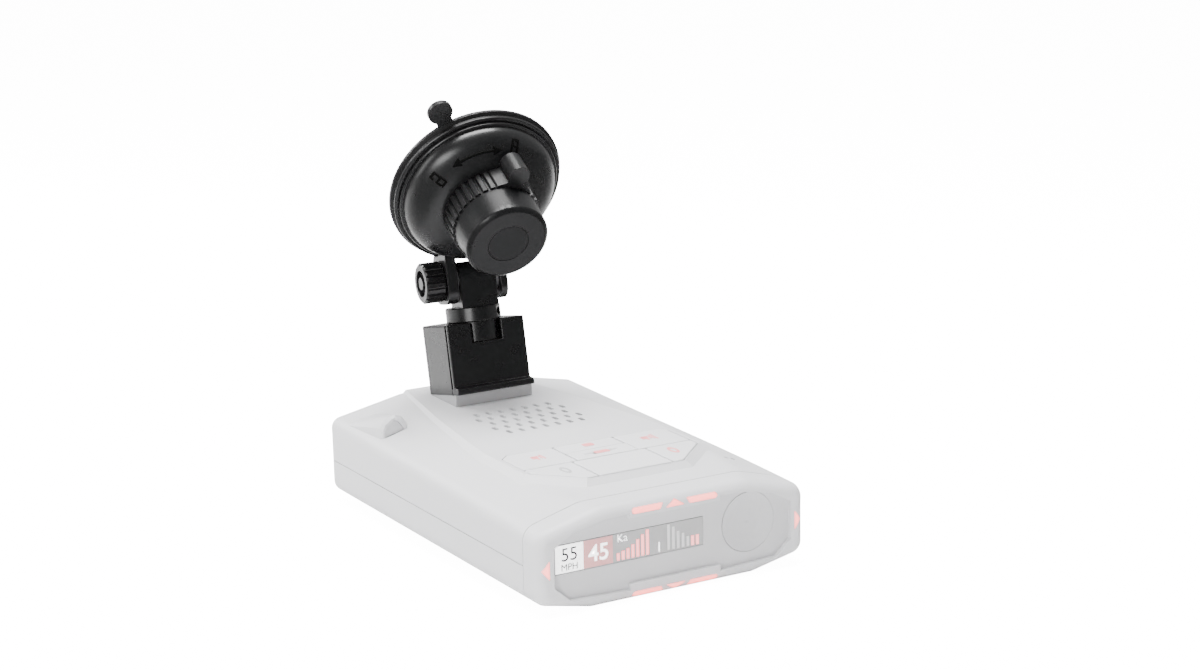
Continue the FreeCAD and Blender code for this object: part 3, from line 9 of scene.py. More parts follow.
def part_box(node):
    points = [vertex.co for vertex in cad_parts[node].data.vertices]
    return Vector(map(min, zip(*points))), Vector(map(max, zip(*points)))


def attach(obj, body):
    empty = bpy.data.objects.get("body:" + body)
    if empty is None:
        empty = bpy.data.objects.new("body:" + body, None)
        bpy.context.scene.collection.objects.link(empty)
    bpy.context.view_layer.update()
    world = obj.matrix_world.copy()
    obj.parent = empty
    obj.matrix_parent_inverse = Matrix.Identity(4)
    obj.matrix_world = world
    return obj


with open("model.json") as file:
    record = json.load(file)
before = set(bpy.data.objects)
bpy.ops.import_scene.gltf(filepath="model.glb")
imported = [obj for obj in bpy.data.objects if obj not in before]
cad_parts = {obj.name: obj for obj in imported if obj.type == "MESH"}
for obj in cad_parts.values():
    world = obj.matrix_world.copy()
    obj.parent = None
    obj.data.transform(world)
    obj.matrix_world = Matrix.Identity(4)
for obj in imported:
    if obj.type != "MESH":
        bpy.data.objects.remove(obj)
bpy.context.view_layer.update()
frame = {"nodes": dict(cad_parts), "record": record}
nodes = frame["nodes"]
print("frame loaded:", len(nodes), "nodes")

mm = 0.001


# frames of the leaning parts, in millimetres

def turn(axis, degrees):
    return Matrix.Rotation(math.radians(degrees), 4, axis)


def shift(x, y, z):
    return Matrix.Translation((x, y, z))


pose = {
    "plateauHeight": 31.82, "plateauTilt": 0.74,
    "dockPlace": (0, 48.76, 34.29), "dockLean": 11.0,
    "stemOffset": 1.2, "stemYaw": 7.3,
    "hingePlace": (0, -3.0, 36.0),
    "cupPlace": (0, -13.8, 28.9), "cupTilt": 38.8,
}
upright = turn("X", 90)  # a flat drawing stood up to face the driver
plateauFrame = shift(0, 0, pose["plateauHeight"]) @ turn("X", pose["plateauTilt"])
dockFrame = shift(*pose["dockPlace"]) @ turn("X", -pose["dockLean"])
swivelFrame = dockFrame @ shift(0, -pose["stemOffset"], 0) @ turn("Z", -pose["stemYaw"])
hingeFrame = swivelFrame @ shift(*pose["hingePlace"])
cupFrame = hingeFrame @ shift(*pose["cupPlace"]) @ turn("X", 90 + pose["cupTilt"])


def boxOf(node):
    low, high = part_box(node)
    return low / mm, high / mm


# shader nodes in short

def newGroup(name, inputs, outputs):
    group = bpy.data.node_groups.new(name, "ShaderNodeTree")
    for label, kind, value in inputs:
        socket = group.interface.new_socket(label, in_out="INPUT", socket_type=kind)
        socket.default_value = value
    for label, kind in outputs:
        group.interface.new_socket(label, in_out="OUTPUT", socket_type=kind)
    return group, group.nodes.new("NodeGroupInput"), group.nodes.new("NodeGroupOutput")


def addNode(tree, kind, settings=None, **sockets):
    # a socket is named with _ for a space, or by its number after an i
    node = tree.nodes.new(kind)
    for name, value in (settings or {}).items():
        setattr(node, name, value)
    for name, value in sockets.items():
        key = int(name[1:]) if name[0] == "i" and name[1:].isdigit() else name.replace("_", " ")
        if isinstance(value, bpy.types.NodeSocket):
            tree.links.new(value, node.inputs[key])
        else:
            node.inputs[key].default_value = value
    return node


def sums(tree, operation, first, second, third=None, clamp=False):
    numbers = {"i0": first, "i1": second}
    if third is not None:
        numbers["i2"] = third
    settings = {"operation": operation, "use_clamp": clamp}
    return addNode(tree, "ShaderNodeMath", settings, **numbers).outputs[0]


def scaled(tree, colour, factor):
    # a colour made lighter or darker by a factor
    return addNode(tree, "ShaderNodeVectorMath", {"operation": "SCALE"}, i0=colour, Scale=factor).outputs[0]


def objectPlace(tree):
    return addNode(tree, "ShaderNodeTexCoord").outputs["Object"]


def noise(tree, place, scale, detail, roughness=0.5):
    cloud = addNode(tree, "ShaderNodeTexNoise", Vector=place, Scale=scale, Detail=detail, Roughness=roughness)
    return cloud.outputs["Fac"]


# effects that several materials share

def buildMouldedGrain():
    # fine spark texture of a moulded shell, with slow drift in tone and a little rub
    group, source, result = newGroup(
        "mouldedGrain",
        [("Colour", "NodeSocketColor", (0.5, 0.5, 0.5, 1)), ("Roughness", "NodeSocketFloat", 0.5),
         ("Grain Scale", "NodeSocketFloat", 2600.0), ("Grain Depth", "NodeSocketFloat", 0.25),
         ("Tone Drift", "NodeSocketFloat", 0.06), ("Rub", "NodeSocketFloat", 0.1)],
        [("Colour", "NodeSocketColor"), ("Roughness", "NodeSocketFloat"), ("Height", "NodeSocketFloat")],
    )
    look = {
        "speckDetail": 2.0, "speckTone": 0.08, "uneven": 0.12,
        "driftScale": 38.0, "driftDetail": 4.0, "driftRoughness": 0.6,
        "rubStretch": (220.0, 40.0, 220.0), "rubDetail": 5.0, "rubRoughness": 0.7,
        "rubFrom": 0.52, "rubTo": 0.75,
    }
    place = objectPlace(group)
    grainScale = source.outputs["Grain Scale"]
    pits = addNode(group, "ShaderNodeTexVoronoi", {"feature": "SMOOTH_F1"}, Vector=place, Scale=grainScale)
    speckle = noise(group, place, grainScale, look["speckDetail"])
    grain = sums(group, "ADD", pits.outputs["Distance"], speckle)
    height = sums(group, "MULTIPLY", grain, source.outputs["Grain Depth"])
    drift = noise(group, place, look["driftScale"], look["driftDetail"], look["driftRoughness"])
    centred = sums(group, "SUBTRACT", drift, 0.5)
    tone = sums(group, "MULTIPLY_ADD", centred, source.outputs["Tone Drift"], 1.0)
    specks = sums(group, "SUBTRACT", speckle, 0.5)
    speckTone = sums(group, "MULTIPLY_ADD", specks, look["speckTone"], tone)
    shade = scaled(group, source.outputs["Colour"], speckTone)
    streaks = addNode(
        group, "ShaderNodeMapping", {"vector_type": "POINT"}, Vector=place, Scale=look["rubStretch"],
    )
    rubNoise = noise(group, streaks.outputs[0], 1.0, look["rubDetail"], look["rubRoughness"])
    rubBand = addNode(
        group, "ShaderNodeMapRange", Value=rubNoise, From_Min=look["rubFrom"], From_Max=look["rubTo"],
    )
    rub = sums(group, "MULTIPLY", rubBand.outputs[0], source.outputs["Rub"])
    gloss = sums(group, "SUBTRACT", source.outputs["Roughness"], rub)
    uneven = sums(group, "MULTIPLY_ADD", centred, look["uneven"], gloss)
    group.links.new(shade, result.inputs["Colour"])
    group.links.new(uneven, result.inputs["Roughness"])
    group.links.new(height, result.inputs["Height"])
    return group


def buildSettledDust():
    # thin dust that settles on what faces up
    group, source, result = newGroup(
        "settledDust",
        [("Colour", "NodeSocketColor", (0.5, 0.5, 0.5, 1)), ("Roughness", "NodeSocketFloat", 0.5),
         ("Amount", "NodeSocketFloat", 0.1), ("Dust Colour", "NodeSocketColor", (0.62, 0.60, 0.57, 1))],
        [("Colour", "NodeSocketColor"), ("Roughness", "NodeSocketFloat")],
    )
    look = {
        "moteScale": 900.0, "moteDetail": 6.0, "moteRoughness": 0.75, "moteFrom": 0.48, "moteTo": 0.72,
        "patchScale": 60.0, "patchDetail": 3.0, "dulling": 0.35, "facingFrom": 0.2, "underside": 0.15,
    }
    place = objectPlace(group)
    normal = addNode(group, "ShaderNodeNewGeometry").outputs["Normal"]
    upward = addNode(group, "ShaderNodeSeparateXYZ", Vector=normal).outputs["Z"]
    facing = addNode(
        group, "ShaderNodeMapRange", Value=upward, From_Min=look["facingFrom"], To_Min=look["underside"],
    )
    motes = noise(group, place, look["moteScale"], look["moteDetail"], look["moteRoughness"])
    patch = noise(group, place, look["patchScale"], look["patchDetail"])
    grainy = addNode(
        group, "ShaderNodeMapRange", Value=motes, From_Min=look["moteFrom"], From_Max=look["moteTo"],
    )
    spread = sums(group, "MULTIPLY", grainy.outputs[0], patch)
    settled = sums(group, "MULTIPLY", spread, facing.outputs[0])
    mask = sums(group, "MULTIPLY", settled, source.outputs["Amount"], clamp=True)
    mixed = addNode(
        group, "ShaderNodeMix", {"data_type": "RGBA"}, i0=mask,
        i6=source.outputs["Colour"], i7=source.outputs["Dust Colour"],
    )
    dull = sums(group, "MULTIPLY_ADD", mask, look["dulling"], source.outputs["Roughness"])
    group.links.new(mixed.outputs[2], result.inputs["Colour"])
    group.links.new(dull, result.inputs["Roughness"])
    return group


mouldedGrain = buildMouldedGrain()
settledDust = buildSettledDust()


def newMaterial(name):
    material = bpy.data.materials.new(name)
    material.use_nodes = True
    tree = material.node_tree
    tree.nodes.clear()
    shader = tree.nodes.new("ShaderNodeBsdfPrincipled")
    output = tree.nodes.new("ShaderNodeOutputMaterial")
    tree.links.new(shader.outputs[0], output.inputs["Surface"])
    return material, tree, shader


def feedShader(tree, shader, colour, roughness, normal):
    tree.links.new(colour, shader.inputs["Base Color"])
    tree.links.new(roughness, shader.inputs["Roughness"])
    tree.links.new(normal, shader.inputs["Normal"])


plainPlastic = {  # what a plastic has unless its own entry says otherwise
    "grainScale": 2600.0, "grainDepth": 0.25, "grainReach": 0.00004, "bump": 0.25, "drift": 0.06, "rub": 0.1,
    "dust": 0.1, "dustColour": (0.62, 0.60, 0.57), "specular": 0.5, "coat": 0.0, "coatRoughness": 0.3,
}


def mouldedPlastic(name, ownLook):
    look = {**plainPlastic, **ownLook}
    material, tree, shader = newMaterial(name)
    grain = addNode(
        tree, "ShaderNodeGroup", {"node_tree": mouldedGrain},
        Colour=(*look["colour"], 1), Roughness=look["roughness"], Grain_Scale=look["grainScale"],
        Grain_Depth=look["grainDepth"], Tone_Drift=look["drift"], Rub=look["rub"],
    )
    dust = addNode(
        tree, "ShaderNodeGroup", {"node_tree": settledDust},
        Colour=grain.outputs["Colour"], Roughness=grain.outputs["Roughness"],
        Amount=look["dust"], Dust_Colour=(*look["dustColour"], 1),
    )
    bump = addNode(
        tree, "ShaderNodeBump", Strength=look["bump"], Distance=look["grainReach"],
        Height=grain.outputs["Height"],
    )
    feedShader(tree, shader, dust.outputs["Colour"], dust.outputs["Roughness"], bump.outputs[0])
    shader.inputs["Specular IOR Level"].default_value = look["specular"]
    shader.inputs["Coat Weight"].default_value = look["coat"]
    shader.inputs["Coat Roughness"].default_value = look["coatRoughness"]
    if "glow" in look:
        shader.inputs["Emission Color"].default_value = (*look["glow"], 1)
        shader.inputs["Emission Strength"].default_value = look["glowStrength"]
    return material


brush = {
    "stretch": (300.0, 4000.0, 4000.0), "lineDetail": 4.0, "lineRoughness": 0.65, "lineFrom": 0.2,
    "lineTo": 0.8, "dark": 0.82, "light": 1.12, "blotchScale": 160.0, "blotchDetail": 3.0,
    "blotchFrom": 0.3, "blotchTo": 0.7, "blotchSwing": 0.07, "bump": 0.15, "depth": 0.00002,
}


def brushedMetal(name, look):
    material, tree, shader = newMaterial(name)
    place = objectPlace(tree)
    stretch = addNode(tree, "ShaderNodeMapping", Vector=place, Scale=brush["stretch"])
    lines = noise(tree, stretch.outputs[0], 1.0, brush["lineDetail"], brush["lineRoughness"])
    blotch = noise(tree, place, brush["blotchScale"], brush["blotchDetail"])
    tone = addNode(
        tree, "ShaderNodeMapRange", Value=lines, From_Min=brush["lineFrom"], From_Max=brush["lineTo"],
        To_Min=brush["dark"], To_Max=brush["light"],
    )
    rough = addNode(
        tree, "ShaderNodeMapRange", Value=blotch, From_Min=brush["blotchFrom"], From_Max=brush["blotchTo"],
        To_Min=look["roughness"] - brush["blotchSwing"], To_Max=look["roughness"] + brush["blotchSwing"],
    )
    bump = addNode(tree, "ShaderNodeBump", Strength=brush["bump"], Distance=brush["depth"], Height=lines)
    feedShader(tree, shader, scaled(tree, look["colour"], tone.outputs[0]), rough.outputs[0], bump.outputs[0])
    shader.inputs["Metallic"].default_value = 1.0
    return material


def circuitBoard(name, look):
    material, tree, shader = newMaterial(name)
    place = objectPlace(tree)
    darker = [channel * look["darker"] for channel in look["colour"]]
    traces = addNode(
        tree, "ShaderNodeTexBrick", {"offset": 0.5}, Vector=place, Scale=look["traceScale"],
        Mortar_Size=look["traceWidth"], Color1=(*look["colour"], 1), Color2=(*darker, 1),
        Mortar=(*look["trace"], 1),
    )
    cloud = noise(tree, place, look["cloudScale"], look["cloudDetail"])
    rough = addNode(tree, "ShaderNodeMapRange", Value=cloud, To_Min=look["smooth"], To_Max=look["rough"])
    bump = addNode(
        tree, "ShaderNodeBump", Strength=look["bump"], Distance=look["depth"], Height=traces.outputs["Fac"],
    )
    feedShader(tree, shader, traces.outputs["Color"], rough.outputs[0], bump.outputs[0])
    return material


def speakerCloth(name, look):
    # plain weave: two crossed sets of threads
    material, tree, shader = newMaterial(name)
    place = objectPlace(tree)
    threads = [
        addNode(
            tree, "ShaderNodeTexWave", {"bands_direction": axis}, Vector=place, Scale=look["threadScale"],
            Distortion=look["waver"], Detail=look["detail"],
        ).outputs["Fac"]
        for axis in ("X", "Y")
    ]
    weave = sums(tree, "MULTIPLY", threads[0], threads[1])
    tone = addNode(tree, "ShaderNodeMapRange", Value=weave, To_Min=look["dark"], To_Max=look["light"])
    rough = addNode(tree, "ShaderNodeMapRange", Value=weave, To_Min=look["rough"], To_Max=look["smooth"])
    bump = addNode(tree, "ShaderNodeBump", Strength=look["bump"], Distance=look["depth"], Height=weave)
    feedShader(tree, shader, scaled(tree, look["colour"], tone.outputs[0]), rough.outputs[0], bump.outputs[0])
    return material


mountBlack = (0.006, 0.006, 0.0063)
plastics = {
    "casePlastic": {
        "colour": (0.60, 0.60, 0.615), "roughness": 0.5, "grainScale": 2400.0, "grainDepth": 0.3,
        "bump": 0.3, "drift": 0.03, "rub": 0.06, "dust": 0.05, "dustColour": (0.6, 0.6, 0.6)},
    "casePanel": {
        "colour": (0.53, 0.53, 0.545), "roughness": 0.42, "grainScale": 3400.0, "grainDepth": 0.15,
        "drift": 0.03, "dust": 0.03},
    "keyPlastic": {
        "colour": (0.66, 0.66, 0.675), "roughness": 0.55, "grainScale": 3000.0,
        "drift": 0.03, "rub": 0.12, "dust": 0.03},
    # the seat is darkened to half the case's tone: painted shade on its front under the dock
    "seatShadedPlastic": {
        "colour": (0.30, 0.30, 0.308), "roughness": 0.55, "grainScale": 3000.0, "drift": 0.03, "dust": 0.05},
    "lightGuide": {
        "colour": (1.0, 0.40, 0.38), "roughness": 0.35, "grainScale": 1800.0, "grainDepth": 0.1,
        "dust": 0.0, "glow": (1.0, 0.14, 0.12), "glowStrength": 3.2},
    "mountPlastic": {
        "colour": mountBlack, "roughness": 0.29, "grainDepth": 0.3,
        "bump": 0.07, "drift": 0.2, "rub": 0.04, "dust": 0.01, "specular": 0.34},
    # duller copies of the mount plastic with less specular: painted shade that dims the pale case reflected
    # in the barrel's end and its disc
    "barrelShadedPlastic": {
        "colour": mountBlack, "roughness": 0.29, "grainDepth": 0.3,
        "bump": 0.05, "drift": 0.2, "rub": 0.03, "dust": 0.005, "specular": 0.15},
    "discShadedPlastic": {
        "colour": mountBlack, "roughness": 0.33, "grainDepth": 0.3,
        "bump": 0.05, "drift": 0.2, "rub": 0.03, "dust": 0.005, "specular": 0.11},
    "cupRubber": {
        "colour": mountBlack, "roughness": 0.30, "grainScale": 1500.0, "grainDepth": 0.15,
        "bump": 0.08, "drift": 0.25, "rub": 0.08, "dust": 0.02, "specular": 0.34},
    # a darker, duller black than the dome's: painted crease shade that makes the moulded marks read as dark
    # lines
    "markShadeBlack": {
        "colour": (0.002, 0.002, 0.002), "roughness": 0.75, "grainDepth": 0.1, "dust": 0.0, "specular": 0.05},
    # darker than the grey rubber: painted shade in the gaps between the keys
    "matGapShadeRubber": {"colour": (0.02, 0.02, 0.021), "roughness": 0.7, "grainScale": 1500.0, "dust": 0.05},
    "greyRubber": {"colour": (0.08, 0.08, 0.082), "roughness": 0.7, "grainScale": 1500.0, "dust": 0.2},
    "smokedWindow": {
        "colour": (0.40, 0.40, 0.405), "roughness": 0.2, "grainScale": 900.0, "grainDepth": 0.02,
        "bump": 0.05, "drift": 0.04, "rub": 0.03, "dust": 0.02, "coat": 0.3, "coatRoughness": 0.15},
    "clearLens": {
        "colour": (0.53, 0.53, 0.545), "roughness": 0.4, "grainScale": 900.0, "grainDepth": 0.02,
        "bump": 0.05, "drift": 0.02, "rub": 0.03, "dust": 0.02, "coat": 0.2},
    "ceramic": {"colour": (0.70, 0.66, 0.56), "roughness": 0.6},
    "speakerBlack": {"colour": (0.20, 0.20, 0.21), "roughness": 0.6, "dust": 0.2},
    "printWhite": {
        "colour": (0.92, 0.92, 0.92), "roughness": 0.4, "grainDepth": 0.05, "drift": 0.05, "dust": 0.0,
        "glow": (1.0, 1.0, 1.0), "glowStrength": 2.6},
    "printBox": {
        "colour": (0.86, 0.86, 0.86), "roughness": 0.4, "grainDepth": 0.05, "drift": 0.08, "dust": 0.0,
        "glow": (1.0, 1.0, 1.0), "glowStrength": 2.2},
    "printDark": {"colour": (0.01, 0.01, 0.01), "roughness": 0.5, "grainDepth": 0.05, "dust": 0.0},
    "printRed": {
        "colour": (0.70, 0.34, 0.34), "roughness": 0.35, "grainDepth": 0.05, "drift": 0.1, "dust": 0.0,
        "glow": (0.75, 0.35, 0.35), "glowStrength": 0.2},
    "printPink": {
        "colour": (1.0, 0.42, 0.42), "roughness": 0.4, "grainDepth": 0.05, "dust": 0.0,
        "glow": (1.0, 0.17, 0.17), "glowStrength": 2.6},
    "printGrey": {
        "colour": (0.62, 0.62, 0.62), "roughness": 0.4, "grainDepth": 0.05, "dust": 0.0,
        "glow": (1.0, 1.0, 1.0), "glowStrength": 0.15},
    "iconPink": {"colour": (0.88, 0.28, 0.29), "roughness": 0.5, "grainDepth": 0.05, "dust": 0.0},
    "iconGrey": {"colour": (0.42, 0.42, 0.43), "roughness": 0.5, "grainDepth": 0.05, "dust": 0.0},
}
metals = {
    "steel": {"colour": (0.56, 0.57, 0.59), "roughness": 0.32},
    "blackSteel": {"colour": (0.07, 0.07, 0.075), "roughness": 0.35},
    "goldContact": {"colour": (0.88, 0.66, 0.28), "roughness": 0.22},
    "hornMetal": {"colour": (0.62, 0.62, 0.64), "roughness": 0.45},
}
boardLook = {
    "colour": (0.03, 0.16, 0.07), "trace": (0.06, 0.30, 0.13), "darker": 0.8, "traceScale": 260.0,
    "traceWidth": 0.05, "cloudScale": 400.0, "cloudDetail": 3.0, "smooth": 0.3, "rough": 0.5,
    "bump": 0.3, "depth": 0.00005,
}
clothLook = {
    "colour": (0.30, 0.30, 0.31), "threadScale": 900.0, "waver": 0.6, "detail": 1.0,
    "dark": 0.55, "light": 1.15, "rough": 0.9, "smooth": 0.75, "bump": 0.6, "depth": 0.0001,
}
materials = {name: mouldedPlastic(name, look) for name, look in plastics.items()}
materials.update({name: brushedMetal(name, look) for name, look in metals.items()})
materials["boardGreen"] = circuitBoard("boardGreen", boardLook)
materials["speakerCloth"] = speakerCloth("speakerCloth", clothLook)

slotMaterials = {
    "case_plastic": "casePlastic", "panel_plastic": "casePanel", "light_guide": "lightGuide",
    "key_plastic": "keyPlastic", "mount_plastic": "mountPlastic", "seat_plastic": "seatShadedPlastic",
    "smoked_window": "smokedWindow", "clear_lens": "clearLens", "grey_rubber": "greyRubber",
    "cup_rubber": "cupRubber", "board_green": "boardGreen", "steel": "steel", "black_steel": "blackSteel",
    "gold_contact": "goldContact", "horn_metal": "hornMetal", "ceramic": "ceramic",
    "speaker_black": "speakerBlack",
}
for entry in frame["record"]["subparts"]:
    part = nodes[entry["node"]]
    part.data.materials.clear()
    part.data.materials.append(materials[slotMaterials[entry["material_slot"]]])
# the barrel and its end disc take the duller copies of the mount plastic, painted shade on their ends; the
# keypad mat takes a black darker than grey rubber, painted shade in the gaps between the keys
ownMaterials = {"lock_barrel": "barrelShadedPlastic", "end_disc": "discShadedPlastic", "keypad_mat": "matGapShadeRubber"}
for name, finish in ownMaterials.items():
    nodes[name].data.materials[0] = materials[finish]
print("materials:", len(materials))


# soft edges on the moulded parts: welded, planes joined, then a small bevel

keyEdge = 0.42
softEdges = {
    "dock_shell": 0.35, "dock_plate": 0.3, "dock_seat": 0.2, "hinge_knuckle": 0.35, "swivel_collar": 0.2,
    "swivel_drum": 0.2, "front_bezel": 0.35, "face_panel": 0.25, "display_window": 0.1,
    "suction_pad": 0.2, "lock_barrel": 0.2, "lock_ring": 0.2, "thumb_knob": 0.2, "cup_housing": 0.2,
    "hinge_bolt": 0.15,
}
softEdges.update({name: keyEdge for name in nodes if name.endswith("_key")})


def softenEdges(name, width):
    look = {"weld": 0.004, "flat": 0.3, "segments": 2, "corner": 28.0, "weight": 90}
    part = nodes[name]
    weld = part.modifiers.new("weld", "WELD")
    weld.merge_threshold = look["weld"] * mm
    planes = part.modifiers.new("planes", "DECIMATE")
    planes.decimate_type = "DISSOLVE"
    planes.angle_limit = math.radians(look["flat"])
    bevel = part.modifiers.new("bevel", "BEVEL")
    bevel.width = width * mm
    bevel.segments = look["segments"]
    bevel.limit_method = "ANGLE"
    bevel.angle_limit = math.radians(look["corner"])
    shading = part.modifiers.new("shading", "WEIGHTED_NORMAL")
    shading.weight = look["weight"]
    for polygon in part.data.polygons:
        polygon.use_smooth = True


for softName, softWidth in softEdges.items():
    softenEdges(softName, softWidth)
print("edges softened:", len(softEdges))


# new pieces: a bmesh in millimetres, carried into place and made an object

def finishPiece(mesh, name, place, material, body):
    bmesh.ops.remove_doubles(mesh, verts=mesh.verts, dist=0.0001)
    bmesh.ops.recalc_face_normals(mesh, faces=mesh.faces)
    mesh.transform(Matrix.Scale(mm, 4) @ place)
    data = bpy.data.meshes.new(name)
    mesh.to_mesh(data)
    mesh.free()
    data.materials.append(materials[material])
    piece = bpy.data.objects.new(name, data)
    bpy.context.scene.collection.objects.link(piece)
    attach(piece, body)


def addPlate(mesh, x0, x1, y0, y1, thickness, corner=0.0):
    # a thin plate that stands on its plane, with its upright corners rounded
    low, high = Vector((x0, y0, 0)), Vector((x1, y1, thickness))
    place = Matrix.Translation((low + high) / 2) @ Matrix.Diagonal((*(high - low), 1))
    cube = bmesh.ops.create_cube(mesh, size=1.0, matrix=place)
    if corner:
        edges = {edge for vertex in cube["verts"] for edge in vertex.link_edges}
        uprights = [edge for edge in edges if abs(edge.verts[0].co.z - edge.verts[1].co.z) > thickness / 2]
        bmesh.ops.bevel(
            mesh, geom=uprights, offset=corner, affect="EDGES", segments=3, profile=0.5, material=-1,
        )


def addTriangle(mesh, thickness, place):
    # a plate with three equal sides, one unit from its middle to each corner
    bmesh.ops.create_cone(
        mesh, cap_ends=True, segments=3, radius1=1.0, radius2=1.0, depth=thickness, matrix=place,
    )


def textMesh(text, height, weight, thickness):
    # lettering as a solid, centred on its own box
    curve = bpy.data.curves.new("lettering", "FONT")
    curve.body = text
    curve.size = height / 0.73  # the capitals of the built-in face stand 0.73 of its size
    curve.offset = weight
    curve.extrude = thickness / 2
    holder = bpy.data.objects.new("lettering", curve)
    bpy.context.scene.collection.objects.link(holder)
    bpy.context.view_layer.update()
    flat = bpy.data.meshes.new_from_object(holder.evaluated_get(bpy.context.evaluated_depsgraph_get()))
    bpy.data.objects.remove(holder)
    mesh = bmesh.new()
    mesh.from_mesh(flat)
    bpy.data.meshes.remove(flat)
    spots = [vertex.co for vertex in mesh.verts]
    middle = [(min(spot[i] for spot in spots) + max(spot[i] for spot in spots)) / 2 for i in range(2)]
    bmesh.ops.translate(mesh, verts=mesh.verts, vec=(-middle[0], -middle[1], thickness / 2))
    return mesh


# the lit picture behind the window: a speed box, a limit box and the signal bars

display = {
    "layer": 0.06, "speedWidth": 9.0, "limitWidth": 9.5, "boxInset": 0.15,
    # lettering: words, height, weight, and where its middle stands as a share of the window's height
    "speedText": ("55", 4.0, -0.03, 0.64), "unitText": ("MPH", 2.0, -0.01, 0.20),
    "limitText": ("45", 4.9, 0.09, 0.5), "bandText": ("Ka", 2.4, -0.05, 0.83),
    "countText": ("1", 3.1, -0.03, 0.24), "bandGap": 3.2, "countPlace": 33.6,
    "barWidth": 0.8, "barFoot": 0.5,
    "riseStart": 20.2, "risePitch": 1.6, "riseHeights": (2.1, 2.5, 3.0, 3.8, 5.0, 6.1, 7.3),
    "fallStart": 36.8, "fallPitch": 1.6, "fallHeights": (7.5, 6.6, 5.1, 4.2, 2.9), "fallLit": (2.8, 2.8),
}


def buildDisplay():
    low, high = boxOf("display_window")
    layer = display["layer"]
    face = shift(low.x, low.y, low.z) @ upright  # x along the window, y up it, z towards the driver
    tall = high.z - low.z
    inset = display["boxInset"]
    speedEnd = display["speedWidth"]
    limitEnd = speedEnd + display["limitWidth"]

    def plate(name, x0, x1, material):
        mesh = bmesh.new()
        addPlate(mesh, x0, x1, inset, tall - inset, layer)
        finishPiece(mesh, name, face, material, "detector")

    def lettering(name, label, x, material):
        text, height, weight, share = label
        mesh = textMesh(text, height, weight, layer)
        finishPiece(mesh, name, face @ shift(x, tall * share, layer), material, "detector")

    def bars(name, start, pitch, heights, material):
        foot, half = display["barFoot"], display["barWidth"] / 2
        mesh = bmesh.new()
        for i, height in enumerate(heights):
            x = start + i * pitch
            addPlate(mesh, x - half, x + half, foot, foot + height, layer * 2)
        finishPiece(mesh, name, face, material, "detector")

    plate("speed_box", 0.0, speedEnd, "printBox")
    plate("limit_box", speedEnd, limitEnd, "printRed")
    lettering("speed_figures", display["speedText"], speedEnd / 2, "printDark")
    lettering("speed_unit", display["unitText"], speedEnd / 2, "printDark")
    lettering("limit_figures", display["limitText"], (speedEnd + limitEnd) / 2, "printWhite")
    lettering("band_letters", display["bandText"], limitEnd + display["bandGap"], "printWhite")
    lettering("count_figure", display["countText"], display["countPlace"], "printWhite")
    fallStart, fallPitch, fallHeights = display["fallStart"], display["fallPitch"], display["fallHeights"]
    bars("rising_bars", display["riseStart"], display["risePitch"], display["riseHeights"], "printPink")
    bars("falling_bars", fallStart, fallPitch, fallHeights, "printGrey")
    bars("lit_bars", fallStart + fallPitch * len(fallHeights), fallPitch, display["fallLit"], "printPink")


buildDisplay()
print("display drawn")


# printed marks on the keys

keyMarks = {
    "lift": 0.2, "thickness": 0.07, "stretch": 2.3,  # drawn tall, to be read at a low angle
    "box": (-2.2, -1.3, 0.5), "horn": 1.2, "hornPlace": -0.7,
    "soundStart": 0.5, "soundPitch": 0.75, "soundWidth": 0.4, "soundHeights": (0.6, 0.9, 1.1),
    "barCorner": 0.4, "ringInner": 0.55, "ringSteps": 32,
}


def onKey(x, y):
    stretch = Matrix.Diagonal((1, keyMarks["stretch"], 1, 1))
    return plateauFrame @ shift(x, y, keyMarks["lift"]) @ stretch


def waveMark(name, body, x, y, sounds):
    # a small loudspeaker: box, horn and its sound bars
    thickness, horn = keyMarks["thickness"], keyMarks["horn"]
    left, right, half = keyMarks["box"]
    mesh = bmesh.new()
    addPlate(mesh, left, right, -half, half, thickness)
    hornPlace = shift(keyMarks["hornPlace"], 0, thickness / 2) @ turn("Z", 60)
    addTriangle(mesh, thickness, hornPlace @ Matrix.Diagonal((horn, horn, 1, 1)))
    for i, tall in enumerate(keyMarks["soundHeights"][:sounds]):
        start = keyMarks["soundStart"] + keyMarks["soundPitch"] * i
        addPlate(mesh, start, start + keyMarks["soundWidth"], -tall, tall, thickness)
    finishPiece(mesh, name, onKey(x, y), "iconPink", body)


def barMark(name, body, x, y, width, height):
    mesh = bmesh.new()
    corner = height * keyMarks["barCorner"]
    addPlate(mesh, -width / 2, width / 2, -height / 2, height / 2, keyMarks["thickness"], corner)
    finishPiece(mesh, name, onKey(x, y), "iconPink", body)


def ringMark(name, body, x, y, radius, material):
    # a ring, spun from its square section
    thickness = keyMarks["thickness"]
    inner = radius * keyMarks["ringInner"]
    mesh = bmesh.new()
    corners = [mesh.verts.new(spot) for spot in
               ((inner, 0, 0), (radius, 0, 0), (radius, 0, thickness), (inner, 0, thickness))]
    section = [mesh.edges.new((corners[i - 1], corners[i])) for i in range(len(corners))]
    bmesh.ops.spin(
        mesh, geom=corners + section, cent=(0, 0, 0), axis=(0, 0, 1), angle=math.tau,
        steps=keyMarks["ringSteps"], use_merge=True,
    )
    finishPiece(mesh, name, onKey(x, y), material, body)


waveMark("left_key_mark", "left_key", -18.8, -22.8, 2)
waveMark("right_key_mark", "right_key", 18.8, -22.8, 3)
barMark("upper_key_mark", "upper_key", 0, -19.5, 3.6, 1.2)
barMark("centre_key_mark", "centre_key", 0, -27.6, 5.0, 1.0)
ringMark("front_left_mark", "front_left_key", -18.3, -38.0, 1.3, "iconGrey")
ringMark("front_right_mark", "front_right_key", 18.3, -38.0, 1.3, "iconPink")
print("key marks printed")


# marks moulded on the dome: a two-headed arrow and a padlock at each end of the lever's travel

